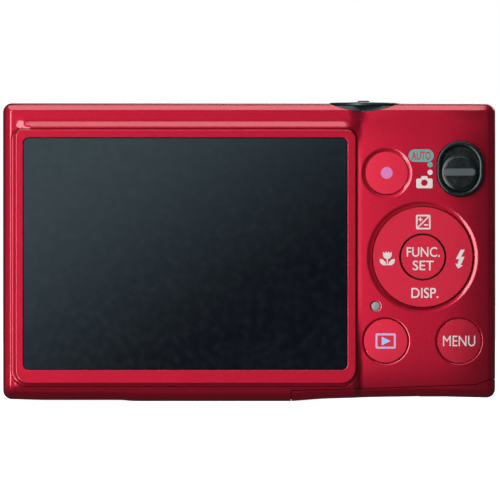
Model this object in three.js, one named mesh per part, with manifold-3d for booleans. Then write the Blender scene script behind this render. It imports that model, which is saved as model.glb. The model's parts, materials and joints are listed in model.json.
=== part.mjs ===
// Compact digital camera, powered off: lens drawn in, battery door closed.
// Millimetres, +Z up. The screen side faces -Y, the lens faces +Y, and +X is to the right when the screen is seen.
// The origin is under the middle of the camera, on the plane that it stands on.
import * as THREE from 'three';
import { mergeVertices } from 'three/addons/utils/BufferGeometryUtils.js';
import Module from 'manifold-3d';

const wasm = await Module();
wasm.setup();

// ---------- driving dimensions ----------
const WIDTH = 93.2;
const BODY_TOP = 56.4;
const CONTROL_TOP = 57.0;
const REAR_FACE = -9.2;
const FRONT_FACE = 8.4;
const BEZEL_FACE = -10.0;
const RING_FACE = 10.0;
const WALL = 1.0;
const SEAM_Y = -3.0;
const SEAM_GAP = 0.1;
const FIT = 0.12;
const EDGE_ROUND_Y = 2.0;
const EDGE_ROUND_XZ = 1.5;
const TOP_CORNER = 1.7;
const LOW_CORNER = 1.6;
const FAR = 100;
const LENS_SIDES = 36;
const ROUND_SIDES = 24;
const SMALL_SIDES = 12;
const HOLE_SIDES = 6;

const SCREEN = { left: -42.75, right: 18.55, low: 5.95, high: 49.85 };
const BEZEL = { left: -44.9, right: 20.2, low: 3.0, high: 51.4 };
const LENS = { x: -12.0, z: 28.0 };
const LEVER = { x: 21.7, y: -2.35, radius: 6.85 };
const PAD = { x: 32.8, z: 27.3, outer: 9.45, inner: 4.45 };
const SWITCH = { x: 39.9, z: 43.95, width: 9.0, height: 10.6, rim: 0.9 };
const DOOR = { left: 8.0, right: 45.2, hingeY: 6.0, hingeZ: 1.75, bead: 1.05, slide: 2.5, skin: 0.75 };
const BATTERY = { x0: 9.7, x1: 44.3, y0: -0.3, y1: 4.9, z0: 4.3, z1: 44.5 };
const TRIPOD = { x: -7.0, y: 2.2, outer: 4.6, bore: 3.0 };
const FLAP = { y0: -2.4, y1: 3.0, z0: 15.0, z1: 36.0 };
const FLASH = { x: -38.7, z: 47.0, width: 10.0, height: 6.0 };

// ---------- materials ----------
const finish = (color, roughness, metalness) =>
  new THREE.MeshStandardMaterial({ color, roughness, metalness });
const RED_METAL = finish(0xb01a38, 0.38, 0.7);
const RED_PLASTIC = finish(0xa81834, 0.42, 0.3);
const BLACK_GLASS = finish(0x12181b, 0.08, 0.0);
const BLACK_PLASTIC = finish(0x17181a, 0.45, 0.0);
const DARK_METAL = finish(0x23292b, 0.35, 0.8);
const STEEL = finish(0xb9bcbf, 0.32, 1.0);
const ALUMINIUM = finish(0xc4c6c8, 0.4, 1.0);
const BRASS = finish(0xb79a5a, 0.35, 1.0);
const BOARD_GREEN = finish(0x1d5a3c, 0.6, 0.0);
const CLEAR = finish(0xdfe6ea, 0.05, 0.0);
const GREY_PLASTIC = finish(0x8b9695, 0.5, 0.0);
const BATTERY_GREY = finish(0x5b6167, 0.55, 0.0);
const RUBBER = finish(0x2a2a2c, 0.8, 0.0);
const CARD_BLUE = finish(0x2b4a78, 0.5, 0.0);
const LATCH_ORANGE = finish(0xc8762a, 0.5, 0.0);

// ---------- solids ----------
// A three.js geometry as a manifold-3d solid.
function solid(shape) {
  if (!(shape instanceof THREE.BufferGeometry)) return shape;
  const bare = shape.clone();
  bare.deleteAttribute('normal');
  bare.deleteAttribute('uv');
  const merged = mergeVertices(bare, 1e-4);
  return new wasm.Manifold(new wasm.Mesh({
    numProp: 3,
    vertProperties: merged.attributes.position.array,
    triVerts: new Uint32Array(merged.index.array),
  }));
}

// A manifold-3d solid as a three.js geometry.
function geometry(shape) {
  if (shape instanceof THREE.BufferGeometry) return shape;
  const mesh = shape.getMesh();
  const made = new THREE.BufferGeometry();
  made.setAttribute('position', new THREE.BufferAttribute(new Float32Array(mesh.vertProperties), 3));
  made.setIndex(Array.from(mesh.triVerts));
  made.computeVertexNormals();
  return made;
}

const join = (first, ...rest) => rest.reduce((sum, next) => sum.add(solid(next)), solid(first));
const cut = (first, ...tools) => tools.reduce((left, tool) => left.subtract(solid(tool)), solid(first));
const common = (first, second) => solid(first).intersect(solid(second));

// A box between two corners.
function block([x0, x1], [y0, y1], [z0, z1]) {
  return new THREE.BoxGeometry(x1 - x0, y1 - y0, z1 - z0)
    .translate((x0 + x1) / 2, (y0 + y1) / 2, (z0 + z1) / 2);
}

// An outline drawn in X and Z, given a thickness along Y.
function plate(outline, y0, y1, curveSegments = 4) {
  return new THREE.ExtrudeGeometry(outline, { depth: y1 - y0, bevelEnabled: false, curveSegments })
    .rotateX(Math.PI / 2)
    .translate(0, y1, 0);
}

// A profile of [radius, height] pairs turned about an axis through a point.
function turned(profile, axis, [x, y, z], segments = ROUND_SIDES) {
  const points = profile.map(([radius, height]) => new THREE.Vector2(radius, height));
  const made = new THREE.LatheGeometry(points, segments);
  if (axis === 'x') made.rotateZ(-Math.PI / 2);
  if (axis === 'z') made.rotateX(Math.PI / 2);
  return made.translate(x, y, z);
}

const rodProfile = (radius, low, high) => [[0, low], [radius, low], [radius, high], [0, high]];
const tubeProfile = (bore, radius, low, high) =>
  [[bore, low], [radius, low], [radius, high], [bore, high], [bore, low]];

const rodY = (radius, y0, y1, x, z, segments = ROUND_SIDES) =>
  turned(rodProfile(radius, y0, y1), 'y', [x, 0, z], segments);
const rodZ = (radius, z0, z1, x, y, segments = ROUND_SIDES) =>
  turned(rodProfile(radius, z0, z1), 'z', [x, y, 0], segments);
const rodX = (radius, x0, x1, y, z, segments = SMALL_SIDES) =>
  turned(rodProfile(radius, x0, x1), 'x', [0, y, z], segments);

function roundedRect(x0, x1, z0, z1, corner) {
  const outline = new THREE.Shape();
  outline.absarc(x0 + corner, z0 + corner, corner, Math.PI, 1.5 * Math.PI);
  outline.absarc(x1 - corner, z0 + corner, corner, 1.5 * Math.PI, 2 * Math.PI);
  outline.absarc(x1 - corner, z1 - corner, corner, 0, 0.5 * Math.PI);
  outline.absarc(x0 + corner, z1 - corner, corner, 0.5 * Math.PI, Math.PI);
  outline.closePath();
  return outline;
}

// ---------- body shape ----------
// The lower edge: flat in the middle, and rising a little to both ends.
const LOW_EDGE = [[-39, 0.2], [-24, 0.2], [-22, 0], [8, 0], [14, 0.45], [24, 0.75], [34, 0.9]];
const LOW_LEFT = 0.4;
const LOW_RIGHT = 0.6;

function bodyOutline(inset) {
  const left = -WIDTH / 2 + inset;
  const right = WIDTH / 2 - inset;
  const top = BODY_TOP - inset;
  const topCorner = TOP_CORNER - inset / 2;
  const lowCorner = LOW_CORNER - inset / 2;
  const outline = new THREE.Shape();
  outline.absarc(left + lowCorner, LOW_LEFT + inset + lowCorner, lowCorner, Math.PI, 1.5 * Math.PI);
  for (const [x, z] of LOW_EDGE) outline.lineTo(x, z + inset);
  outline.absarc(right - lowCorner, LOW_RIGHT + inset + lowCorner, lowCorner, 1.5 * Math.PI, 2 * Math.PI);
  outline.absarc(right - topCorner, top - topCorner, topCorner, 0, 0.5 * Math.PI);
  outline.absarc(left + topCorner, top - topCorner, topCorner, 0.5 * Math.PI, Math.PI);
  outline.closePath();
  return outline;
}

// The body's outer form, or the same form drawn in by a wall.
function bodyForm(inset) {
  const roundY = EDGE_ROUND_Y - inset * 0.6;
  const roundXZ = EDGE_ROUND_XZ - inset * 0.6;
  const y0 = REAR_FACE + inset;
  const y1 = FRONT_FACE - inset;
  return solid(new THREE.ExtrudeGeometry(bodyOutline(inset), {
    depth: y1 - y0 - 2 * roundY,
    bevelEnabled: true,
    bevelThickness: roundY,
    bevelSize: roundXZ,
    bevelOffset: -roundXZ,
    bevelSegments: 2,
    curveSegments: 3,
  }).rotateX(Math.PI / 2).translate(0, y1 - roundY, 0));
}

const OUTER = bodyForm(0);
const SHELL = OUTER.subtract(bodyForm(WALL));

// The battery door's share of the body, with its sloping seam; grow widens it into the hole for the door.
function doorRegion(grow) {
  const outline = new THREE.Shape();
  outline.moveTo(DOOR.left - grow, -1);
  outline.lineTo(WIDTH / 2 + 1, -1);
  outline.lineTo(WIDTH / 2 + 1, 4.0 + grow);
  outline.lineTo(45.4, 4.0 + grow);
  outline.lineTo(43.0, 3.1 + grow);
  outline.lineTo(20.5, 2.3 + grow);
  outline.lineTo(DOOR.left - grow, 2.0 + grow);
  outline.closePath();
  return outline;
}

const DOOR_FRONT = DOOR.hingeY + 1.3;
const DOOR_HOLE = plate(doorRegion(FIT), -FAR, DOOR_FRONT);
const LEVER_WELL_Z = 54.8;
const LEVER_HOLE = rodZ(LEVER.radius + FIT, LEVER_WELL_Z, FAR, LEVER.x, LEVER.y);

// ---------- screws ----------
const SCREW = { head: 1.2, headDepth: 0.5, shank: 0.6, length: 3.6 };
const SCREWS = [
  { name: 'case_screw_1', axis: 'z', at: [-30, 0.8, 0.2], inward: 1 },
  { name: 'case_screw_2', axis: 'z', at: [5.4, 5.0, 0.0], inward: 1 },
  { name: 'case_screw_3', axis: 'x', at: [-46.6, 1.2, 44.0], inward: 1 },
  { name: 'case_screw_4', axis: 'x', at: [46.6, 1.2, 48.6], inward: -1 },
];

// A countersunk screw, or the hole for it when grown.
function screw({ axis, at, inward }, grow) {
  const head = SCREW.head + grow;
  const shank = SCREW.shank + grow;
  const start = grow > 0 ? -1 : 0.12;
  const levels = [[0, start], [head, start], [head, SCREW.headDepth], [shank, SCREW.headDepth + 0.4],
    [shank, SCREW.length], [0, SCREW.length]];
  const profile = inward > 0 ? levels : levels.map(([radius, depth]) => [radius, -depth]).reverse();
  return turned(profile, axis, at, SMALL_SIDES);
}

const SCREW_HOLES = SCREWS.map((one) => screw(one, 0.1));

// ---------- covers ----------
const ROUND_KEYS = [
  { name: 'movie_button', x: 26.0, z: 43.2, radius: 4.03, dish: 4.72 },
  { name: 'playback_button', x: 25.8, z: 11.4, radius: 4.13, dish: 4.45 },
  { name: 'menu_button', x: 39.7, z: 11.4, radius: 4.15, dish: 4.45 },
];
const KEY_GAP = 0.15;
const DISH_DEPTH = 0.35;
const LAMP = { x: 23.9, z: 18.0, radius: 0.82 };

// A hole through the screen-side wall with a sloping rim at its mouth.
function dishedHole(x, z, bore, mouth) {
  const inside = REAR_FACE + WALL + 1;
  return turned([[0, -FAR], [mouth, -FAR], [mouth, REAR_FACE], [bore, REAR_FACE + DISH_DEPTH],
    [bore, inside], [0, inside]], 'y', [x, 0, z]);
}

function stadium(cx, cz, width, height) {
  return roundedRect(cx - width / 2, cx + width / 2, cz - height / 2, cz + height / 2, width / 2 - 0.01);
}

function rearCover() {
  const half = block([-FAR, FAR], [-FAR, SEAM_Y - SEAM_GAP / 2], [-FAR, FAR]);
  const ledge = 1.2;
  const screenHole = plate(
    roundedRect(SCREEN.left + ledge, SCREEN.right - ledge, SCREEN.low + ledge, SCREEN.high - ledge, 0.8),
    -FAR, REAR_FACE + WALL + 1);
  const keyHoles = ROUND_KEYS.map(({ x, z, radius, dish }) => dishedHole(x, z, radius + KEY_GAP, dish));
  const padHole = dishedHole(PAD.x, PAD.z, PAD.outer + 0.25, 10.55);
  const switchHole = plate(stadium(SWITCH.x, SWITCH.z, SWITCH.width + 0.1, SWITCH.height + 0.1), -FAR, -7);
  const lampHole = rodY(LAMP.radius + 0.08, -FAR, -7, LAMP.x, LAMP.z, SMALL_SIDES);
  return cut(common(SHELL, half), screenHole, ...keyHoles, padHole, switchHole, lampHole, DOOR_HOLE,
    LEVER_HOLE);
}

const SPEAKER = { x: -30, y: 2.5, z: 52.6, radius: 5 };
const MICROPHONE = { x: 6.5, z: 51.6 };
const POWER = { x: 5.5, y: -0.4, radius: 2.6 };
const AF_LAMP = { x: 12.6, z: 49.6, radius: 1.9 };
const LENS_RING_OUTER = 21.0;
const STRAP = { y0: -1.2, y1: 3.0, z0: 5.0, z1: 11.5 };

function frontCover() {
  const half = block([-FAR, FAR], [SEAM_Y + SEAM_GAP / 2, FAR], [-FAR, FAR]);
  const lensHole = rodY(LENS_RING_OUTER + 0.1, 0, FAR, LENS.x, LENS.z, LENS_SIDES);
  const flashHole = plate(roundedRect(FLASH.x - FLASH.width / 2 - 0.1, FLASH.x + FLASH.width / 2 + 0.1,
    FLASH.z - FLASH.height / 2 - 0.1, FLASH.z + FLASH.height / 2 + 0.1, 1.1), 0, FAR);
  const afHole = rodY(AF_LAMP.radius + 0.1, 0, FAR, AF_LAMP.x, AF_LAMP.z, SMALL_SIDES);
  const micHoles = [-0.9, 0.9].map((dx) => rodY(0.35, 0, FAR, MICROPHONE.x + dx, MICROPHONE.z, HOLE_SIDES));
  const speakerHoles = [-2.4, 0, 2.4].flatMap((dx) => [-1, 1].map((dy) =>
    rodZ(0.4, 50, FAR, SPEAKER.x + dx, SPEAKER.y + dy, HOLE_SIDES)));
  const powerHole = rodZ(POWER.radius + 0.15, 50, FAR, POWER.x, POWER.y);
  const flapHole = block([-FAR, -43], [FLAP.y0 - FIT, FLAP.y1 + 0.85], [FLAP.z0 - FIT, FLAP.z1 + FIT]);
  const strapPocket = block([-FAR, -43], [STRAP.y0, STRAP.y1], [STRAP.z0, STRAP.z1]);
  const tripodHole = rodZ(TRIPOD.outer + 0.1, -FAR, 5, TRIPOD.x, TRIPOD.y);
  return cut(common(SHELL, half), lensHole, flashHole, afHole, ...micHoles, ...speakerHoles, powerHole,
    flapHole, strapPocket, tripodHole, DOOR_HOLE, LEVER_HOLE, ...SCREW_HOLES);
}

// ---------- screen ----------
function screenBezel() {
  const low = BEZEL_FACE + 0.45;
  const frame = new THREE.ExtrudeGeometry(
    roundedRect(BEZEL.left, BEZEL.right, BEZEL.low, BEZEL.high, 2.0),
    { depth: REAR_FACE - 0.02 - low, bevelThickness: 0.45, bevelSize: 0.45, bevelOffset: -0.45,
      bevelSegments: 1, curveSegments: 4 },
  ).rotateX(Math.PI / 2).translate(0, REAR_FACE - 0.02, 0);
  const behind = block([-FAR, FAR], [REAR_FACE - 0.02, FAR], [-FAR, FAR]);
  const opening = plate(roundedRect(SCREEN.left, SCREEN.right, SCREEN.low, SCREEN.high, 1.1), -FAR, 0);
  return cut(frame, behind, opening);
}

function screenWindow() {
  const gap = 0.08;
  return plate(roundedRect(SCREEN.left + gap, SCREEN.right - gap, SCREEN.low + gap, SCREEN.high - gap, 1.0),
    BEZEL_FACE + 0.15, REAR_FACE - 0.02);
}

const PANEL_INSET = 1.5;
const lcdPanel = () => block([SCREEN.left + PANEL_INSET, SCREEN.right - PANEL_INSET], [-9.15, -7.3],
  [SCREEN.low + PANEL_INSET, SCREEN.high - PANEL_INSET]);

// A folded tray behind the panel, with a low rim all round.
function lcdBackplate() {
  const outer = block([SCREEN.left + 0.4, SCREEN.right - 0.4], [-7.6, -6.8],
    [SCREEN.low + 0.4, SCREEN.high - 0.4]);
  const inner = block([SCREEN.left + 0.9, SCREEN.right - 0.9], [-8, -7.2],
    [SCREEN.low + 0.9, SCREEN.high - 0.9]);
  return cut(outer, inner);
}

// ---------- frame and boards ----------
function chassisFrame() {
  const sheet = block([-44.8, 45.0], [-5.4, -4.8], [4.4, 52.2]);
  const sensorHole = block([-21, -3], [-9, 0], [19.5, 36.5]);
  const lightening = [[24, 15, 3.2], [34, 15, 3.2], [24, 38, 3.2], [34, 38, 3.2]]
    .map(([x, z, radius]) => rodY(radius, -9, 0, x, z, SMALL_SIDES));
  const footTab = block([-30, -22], [-4.9, -3.6], [4.4, 5.2]);
  const topTab = block([-18, -2], [-4.9, -1.0], [51.2, 52.2]);
  return join(cut(sheet, sensorHole, ...lightening), footTab, topTab);
}

function mainBoard() {
  const board = block([-44.2, 18.8], [-6.6, -5.8], [5.5, 51.5]);
  const sensorWindow = block([-24, 0], [-9, 0], [16.5, 39.5]);
  const chips = [[-38, 12, 9], [-30, 40, 8], [10, 12, 9], [9, 42, 7]].map(([x, z, size]) =>
    block([x - size / 2, x + size / 2], [-5.85, -5.5], [z - size / 2, z + size / 2]));
  return join(cut(board, sensorWindow), ...chips);
}

const KEY_BOARD_FACE = -6.1;
function keyBoard() {
  const board = block([19.6, 45.0], [KEY_BOARD_FACE, -5.5], [5.2, 50.8]);
  const domes = [...ROUND_KEYS, PAD].map(({ x, z }) =>
    rodY(1.8, KEY_BOARD_FACE - 0.15, KEY_BOARD_FACE + 0.1, x, z, SMALL_SIDES));
  return join(board, ...domes);
}

const sensorBoard = () => block([-22.5, -1.5], [-6.5, -5.7], [18, 38]);
const imageSensor = () => block([LENS.x - 5, LENS.x + 5], [-5.65, -4.85], [LENS.z - 4, LENS.z + 4]);

// ---------- lens unit ----------
const HOUSING = { radius: 20.4, bore: 18.7, back: -4.7, floor: -3.9, front: 7.3 };
const PINION = { teeth: 12, pitch: 2.5, y0: 4.9, y1: 6.4 };
const CAM = { bore: 16.85, radius: 17.5, pitch: 18.0, back: -3.6, front: 6.6 };
const CAM_TEETH = Math.round(PINION.teeth * CAM.pitch / PINION.pitch);
const MOTOR_ANGLE = 0.75 * Math.PI;
const CENTRE_DISTANCE = CAM.pitch + PINION.pitch;
const MOTOR = {
  x: LENS.x + CENTRE_DISTANCE * Math.cos(MOTOR_ANGLE),
  z: LENS.z + CENTRE_DISTANCE * Math.sin(MOTOR_ANGLE),
  radius: 2.5,
};

const lensTube = (bore, radius, y0, y1) =>
  turned(tubeProfile(bore, radius, y0, y1), 'y', [LENS.x, 0, LENS.z], LENS_SIDES);
const lensDisc = (radius, y0, y1) => rodY(radius, y0, y1, LENS.x, LENS.z, LENS_SIDES);

function lensHousing() {
  const drum = lensDisc(HOUSING.radius, HOUSING.back, HOUSING.front);
  const motorBoss = rodY(MOTOR.radius + 1.6, HOUSING.back, HOUSING.front, MOTOR.x, MOTOR.z);
  const bore = lensDisc(HOUSING.bore, HOUSING.floor, FAR);
  const motorPocket = rodY(MOTOR.radius + 0.7, HOUSING.floor, FAR, MOTOR.x, MOTOR.z);
  const sensorWindow = block([LENS.x - 5.5, LENS.x + 5.5], [-9, 0], [LENS.z - 4.5, LENS.z + 4.5]);
  return cut(join(drum, motorBoss), bore, motorPocket, sensorWindow);
}

// One straight-sided gear tooth as an outline in X and Z, pointing away from a centre.
function tooth(cx, cz, root, tip, angle, rootHalf, tipHalf) {
  const at = (radius, side) => [cx + radius * Math.cos(angle) - side * Math.sin(angle),
    cz + radius * Math.sin(angle) + side * Math.cos(angle)];
  const outline = new THREE.Shape();
  outline.moveTo(...at(root, -rootHalf));
  outline.lineTo(...at(tip, -tipHalf));
  outline.lineTo(...at(tip, tipHalf));
  outline.lineTo(...at(root, rootHalf));
  outline.closePath();
  return outline;
}

const TOOTH = { above: 0.35, below: 0.5, rootHalf: 0.36, tipHalf: 0.16 };

// The cam ring's teeth fill only the sector that passes the pinion in one stroke.
function camRing() {
  const pitchAngle = 2 * Math.PI / CAM_TEETH;
  const before = 3;
  const after = 26;
  const teeth = [];
  for (let i = -before; i <= after; i += 1) {
    const outline = tooth(LENS.x, LENS.z, CAM.pitch - TOOTH.below - 0.2, CAM.pitch + TOOTH.above,
      MOTOR_ANGLE + (i + 0.5) * pitchAngle, TOOTH.rootHalf, TOOTH.tipHalf);
    teeth.push(plate(outline, PINION.y0 + 0.1, PINION.y1 - 0.1));
  }
  return join(lensTube(CAM.bore, CAM.radius, CAM.back, CAM.front), ...teeth);
}

function driveGear() {
  const hub = rodY(PINION.pitch - TOOTH.below, PINION.y0, PINION.y1, MOTOR.x, MOTOR.z);
  const shaft = rodY(0.5, 4.2, 7.1, MOTOR.x, MOTOR.z, SMALL_SIDES);
  const teeth = [];
  for (let i = 0; i < PINION.teeth; i += 1) {
    const angle = MOTOR_ANGLE + Math.PI + i * 2 * Math.PI / PINION.teeth;
    teeth.push(plate(tooth(MOTOR.x, MOTOR.z, PINION.pitch - TOOTH.below - 0.2, PINION.pitch + TOOTH.above,
      angle, TOOTH.rootHalf, TOOTH.tipHalf), PINION.y0, PINION.y1));
  }
  return join(hub, shaft, ...teeth);
}

const zoomMotor = () => join(rodY(MOTOR.radius, -3.6, 4.0, MOTOR.x, MOTOR.z),
  rodY(1.0, -3.7, -3.5, MOTOR.x, MOTOR.z, SMALL_SIDES));

const OUTER_BARREL = { bore: 15.3, radius: 16.5, back: -3.4, front: 9.1 };
const INNER_BARREL = { bore: 14.0, radius: 15.1, back: -3.2, front: 9.3 };
const APERTURE = 5.6;
const BLADE = { y0: 7.75, y1: 8.2, pivot: 10.6, hole: 0.8 };

const outerBarrel = () => lensTube(OUTER_BARREL.bore, OUTER_BARREL.radius, OUTER_BARREL.back,
  OUTER_BARREL.front);

// The inner barrel carries the front lens in a wall behind the barrier blades, with a pin for each blade.
function innerBarrel() {
  const tube = lensTube(INNER_BARREL.bore, INNER_BARREL.radius, INNER_BARREL.back, INNER_BARREL.front);
  const wall = lensTube(7.0, INNER_BARREL.bore + 0.3, 6.4, 7.5);
  const pins = [-1, 1].map((side) =>
    rodY(BLADE.hole - 0.2, 7.4, 8.4, LENS.x + side * BLADE.pivot, LENS.z, SMALL_SIDES));
  return join(tube, wall, ...pins);
}

function barrierRing() {
  return turned([[APERTURE, 8.6], [13.8, 8.6], [13.8, 9.2], [13.5, 9.4], [APERTURE + 1.0, 9.4],
    [APERTURE, 8.9], [APERTURE, 8.6]], 'y', [LENS.x, 0, LENS.z], LENS_SIDES);
}

function frontLens() {
  const crown = [6.9, 5.4, 3.0].map((radius) => [radius, 7.35 - radius * radius / 60]);
  return turned([[0, 3.4], [6.0, 3.4], [6.9, 4.2], ...crown, [0, 7.35]], 'y', [LENS.x, 0, LENS.z]);
}

// Half of the round barrier with an arm to its pivot: side +1 is the upper half, -1 the lower one.
function barrierBlade(side) {
  const radius = APERTURE + 0.5;
  const seam = 0.08;
  const arm = 1.5;
  const outline = new THREE.Shape();
  outline.moveTo(-radius, seam);
  outline.lineTo(BLADE.pivot + arm, seam);
  outline.lineTo(BLADE.pivot + arm, arm);
  outline.absarc(BLADE.pivot, 0, arm, 0.25 * Math.PI, 0.5 * Math.PI);
  outline.absarc(0, 0, radius, 0.3, Math.PI - 0.02);
  outline.closePath();
  const leaf = plate(outline, BLADE.y0, BLADE.y1, 8);
  const hub = rodY(arm, BLADE.y0, BLADE.y1, BLADE.pivot, 0, SMALL_SIDES);
  const hole = rodY(BLADE.hole, 0, FAR, BLADE.pivot, 0, SMALL_SIDES);
  const placed = geometry(cut(join(leaf, hub), hole));
  if (side < 0) placed.rotateY(Math.PI);
  return placed.translate(LENS.x, 0, LENS.z);
}

function lensRing() {
  return turned([[16.75, 7.6], [LENS_RING_OUTER, 7.6], [LENS_RING_OUTER, 8.9], [LENS_RING_OUTER - 1.0, 9.8],
    [LENS_RING_OUTER - 2.0, RING_FACE], [17.6, RING_FACE], [16.75, 9.5], [16.75, 7.6]], 'y',
  [LENS.x, 0, LENS.z], LENS_SIDES);
}

// ---------- flash, lamp, sound ----------
const flashWindow = () => plate(roundedRect(FLASH.x - FLASH.width / 2, FLASH.x + FLASH.width / 2,
  FLASH.z - FLASH.height / 2, FLASH.z + FLASH.height / 2, 1.0), 7.0, FRONT_FACE - 0.05, 3);

function flashReflector() {
  const half = FLASH.width / 2 - 0.3;
  const tray = block([FLASH.x - half, FLASH.x + half], [3.4, 6.9], [FLASH.z - 2.8, FLASH.z + 2.8]);
  const hollow = block([FLASH.x - half + 0.5, FLASH.x + half - 0.5], [4.0, 9], [FLASH.z - 2.3, FLASH.z + 2.3]);
  return cut(tray, hollow);
}

const flashTube = () => rodX(0.9, FLASH.x - 3.9, FLASH.x + 3.9, 5.3, FLASH.z, SMALL_SIDES);
const flashCapacitor = () => join(rodZ(3.3, 15, 38, -36.6, 3.7), rodZ(3.1, 38, 39, -36.6, 3.7));
const afLampWindow = () => rodY(AF_LAMP.radius, 6.6, FRONT_FACE - 0.05, AF_LAMP.x, AF_LAMP.z, SMALL_SIDES);
const speaker = () => turned([[0, 52.6], [SPEAKER.radius - 1.0, 52.6], [SPEAKER.radius, 53.2],
  [SPEAKER.radius, 54.9], [0, 54.9]], 'z', [SPEAKER.x, SPEAKER.y - 1.4, 0]);
const microphone = () => block([MICROPHONE.x - 2, MICROPHONE.x + 2], [5.6, 7.2],
  [MICROPHONE.z - 1.5, MICROPHONE.z + 1.5]);

// ---------- top controls ----------
const RING = { bore: 4.3, radius: 6.6, low: 56.0, top: 56.55 };

// The static base fills the well in the covers and follows the body's rounded edge.
function topKeyBase() {
  const drum = common(OUTER, rodZ(LEVER.radius, LEVER_WELL_Z + 0.02, RING.low - 0.1, LEVER.x, LEVER.y));
  const neck = rodZ(5.6, 53.2, 55.2, LEVER.x, LEVER.y);
  const shutterBore = rodZ(4.4, 0, FAR, LEVER.x, LEVER.y);
  return cut(join(drum, neck), shutterBore);
}

function zoomRing() {
  const ring = turned([[RING.bore, RING.low], [RING.radius, RING.low], [RING.radius, RING.top - 0.15],
    [RING.radius - 0.4, RING.top], [RING.bore, RING.top], [RING.bore, RING.low]], 'z',
  [LEVER.x, LEVER.y, 0]);
  const tab = new THREE.Shape();
  tab.moveTo(LEVER.x - 1.45, RING.top - 0.1);
  tab.lineTo(LEVER.x + 1.45, RING.top - 0.1);
  tab.lineTo(LEVER.x + 0.95, CONTROL_TOP);
  tab.lineTo(LEVER.x - 0.95, CONTROL_TOP);
  tab.closePath();
  return join(ring, plate(tab, LEVER.y + 4.6, LEVER.y + 8.3));
}

function shutterButton() {
  return turned([[0, 51.85], [1.2, 51.85], [1.2, 54.4], [3.9, 54.4], [3.9, 56.35], [3.5, 56.55],
    [2.0, 56.66], [0, 56.7]], 'z', [LEVER.x, LEVER.y, 0]);
}

function powerButton() {
  return turned([[0, 51.45], [1.0, 51.45], [1.0, 54.0], [3.3, 54.0], [3.3, 54.7], [POWER.radius, 54.7],
    [POWER.radius, 56.2], [POWER.radius - 0.3, 56.35], [0, 56.35]], 'z', [POWER.x, POWER.y, 0]);
}

function topBoard() {
  const board = block([1, 32], [-4.4, 4.6], [50.2, 50.9]);
  const switches = [POWER, LEVER].map(({ x, y }) => rodZ(1.6, 50.8, 51.0, x, y, SMALL_SIDES));
  return join(board, ...switches);
}

// ---------- keys on the screen side ----------
const KEY_BACK = -6.8;

// A round key: a cap with a rounded rim, and a thick flange behind the wall that works its switch.
function roundKey({ x, z, radius }) {
  const face = -9.6;
  return turned([[0, face], [radius - 0.35, face + 0.12], [radius, face + 0.45], [radius, -7.9],
    [radius + 0.6, -7.9], [radius + 0.6, KEY_BACK], [0, KEY_BACK]], 'y', [x, 0, z]);
}

function dpadRing() {
  const face = -9.9;
  return turned([[PAD.inner, face + 0.2], [PAD.inner + 1.2, face], [PAD.outer - 0.8, face],
    [PAD.outer, face + 0.5], [PAD.outer, -7.8], [PAD.outer + 0.45, -7.8], [PAD.outer + 0.45, -7.4],
    [PAD.inner, -7.4], [PAD.inner, face + 0.2]], 'y', [PAD.x, 0, PAD.z]);
}

const dpadCarrier = () => turned(tubeProfile(4.7, 8.0, -7.0, -6.7), 'y', [PAD.x, 0, PAD.z]);

function setButton() {
  const face = -9.9;
  const radius = 4.12;
  return turned([[0, face], [radius - 0.3, face + 0.12], [radius, face + 0.4], [radius, KEY_BACK],
    [0, KEY_BACK]], 'y', [PAD.x, 0, PAD.z]);
}

const indicatorLens = () => turned([[0, -9.25], [LAMP.radius, -9.2], [LAMP.radius, -8.1], [1.3, -8.1],
  [1.3, -7.6], [0, -7.6]], 'y', [LAMP.x, 0, LAMP.z], SMALL_SIDES);

function modeSwitchBezel() {
  const { x, z, width, height, rim } = SWITCH;
  const outer = plate(stadium(x, z, width, height), -9.75, -7.7, 6);
  const recess = plate(stadium(x, z, width - 2 * rim, height - 2 * rim), -FAR, -8.7, 6);
  const slot = block([x - 1.1, x + 1.1], [-FAR, 0], [z - 1.9, z + 2.0]);
  return cut(outer, recess, slot);
}

const KNOB = { x: 39.8, z: 43.3, radius: 3.42 };

function modeSwitchKnob() {
  const disc = turned([[0, -9.45], [KNOB.radius - 0.4, -9.45], [KNOB.radius, -9.2], [KNOB.radius, -8.85],
    [0, -8.85]], 'y', [KNOB.x, 0, KNOB.z]);
  const rib = block([KNOB.x - 3.05, KNOB.x + 3.05], [-9.9, -9.3], [KNOB.z - 0.68, KNOB.z + 0.68]);
  const stem = rodY(0.8, -9.0, -7.3, KNOB.x, KNOB.z, SMALL_SIDES);
  return join(disc, rib, stem);
}

// ---------- battery, card and door ----------
const EARS = [[19, 21], [30, 32]];

function batteryHolder() {
  const { x0, x1, y0, y1, z0, z1 } = BATTERY;
  const box = block([x0 - 0.7, x1 + 0.7], [y0 - 0.9, y1 + 0.9], [z0 - 0.6, z1 + 1.9]);
  const cell = block([x0 - 0.15, x1 + 0.15], [y0 - 0.15, y1 + 0.2], [-1, z1 + 1.2]);
  const latchSlot = block([23.8, 30.2], [y1, FAR], [-1, 12.2]);
  const ears = EARS.map(([e0, e1]) => block([e0, e1], [y1 + 0.3, y1 + 2.0], [1.1, z0 + 1]));
  const pinHole = rodX(0.55, 0, 60, DOOR.hingeY, DOOR.hingeZ);
  return cut(join(cut(box, cell, latchSlot), ...ears), pinHole);
}

const battery = () => plate(roundedRect(BATTERY.x0, BATTERY.x1, BATTERY.z0, BATTERY.z1, 1.2),
  BATTERY.y0, BATTERY.y1);

function batteryContacts() {
  const base = block([33, 42], [0.3, 4.3], [44.7, 45.6]);
  const blades = [34.2, 37.0, 39.8].map((x) => block([x, x + 0.8], [1.6, 3.0], [44.55, 44.75]));
  return join(base, ...blades);
}

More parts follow.
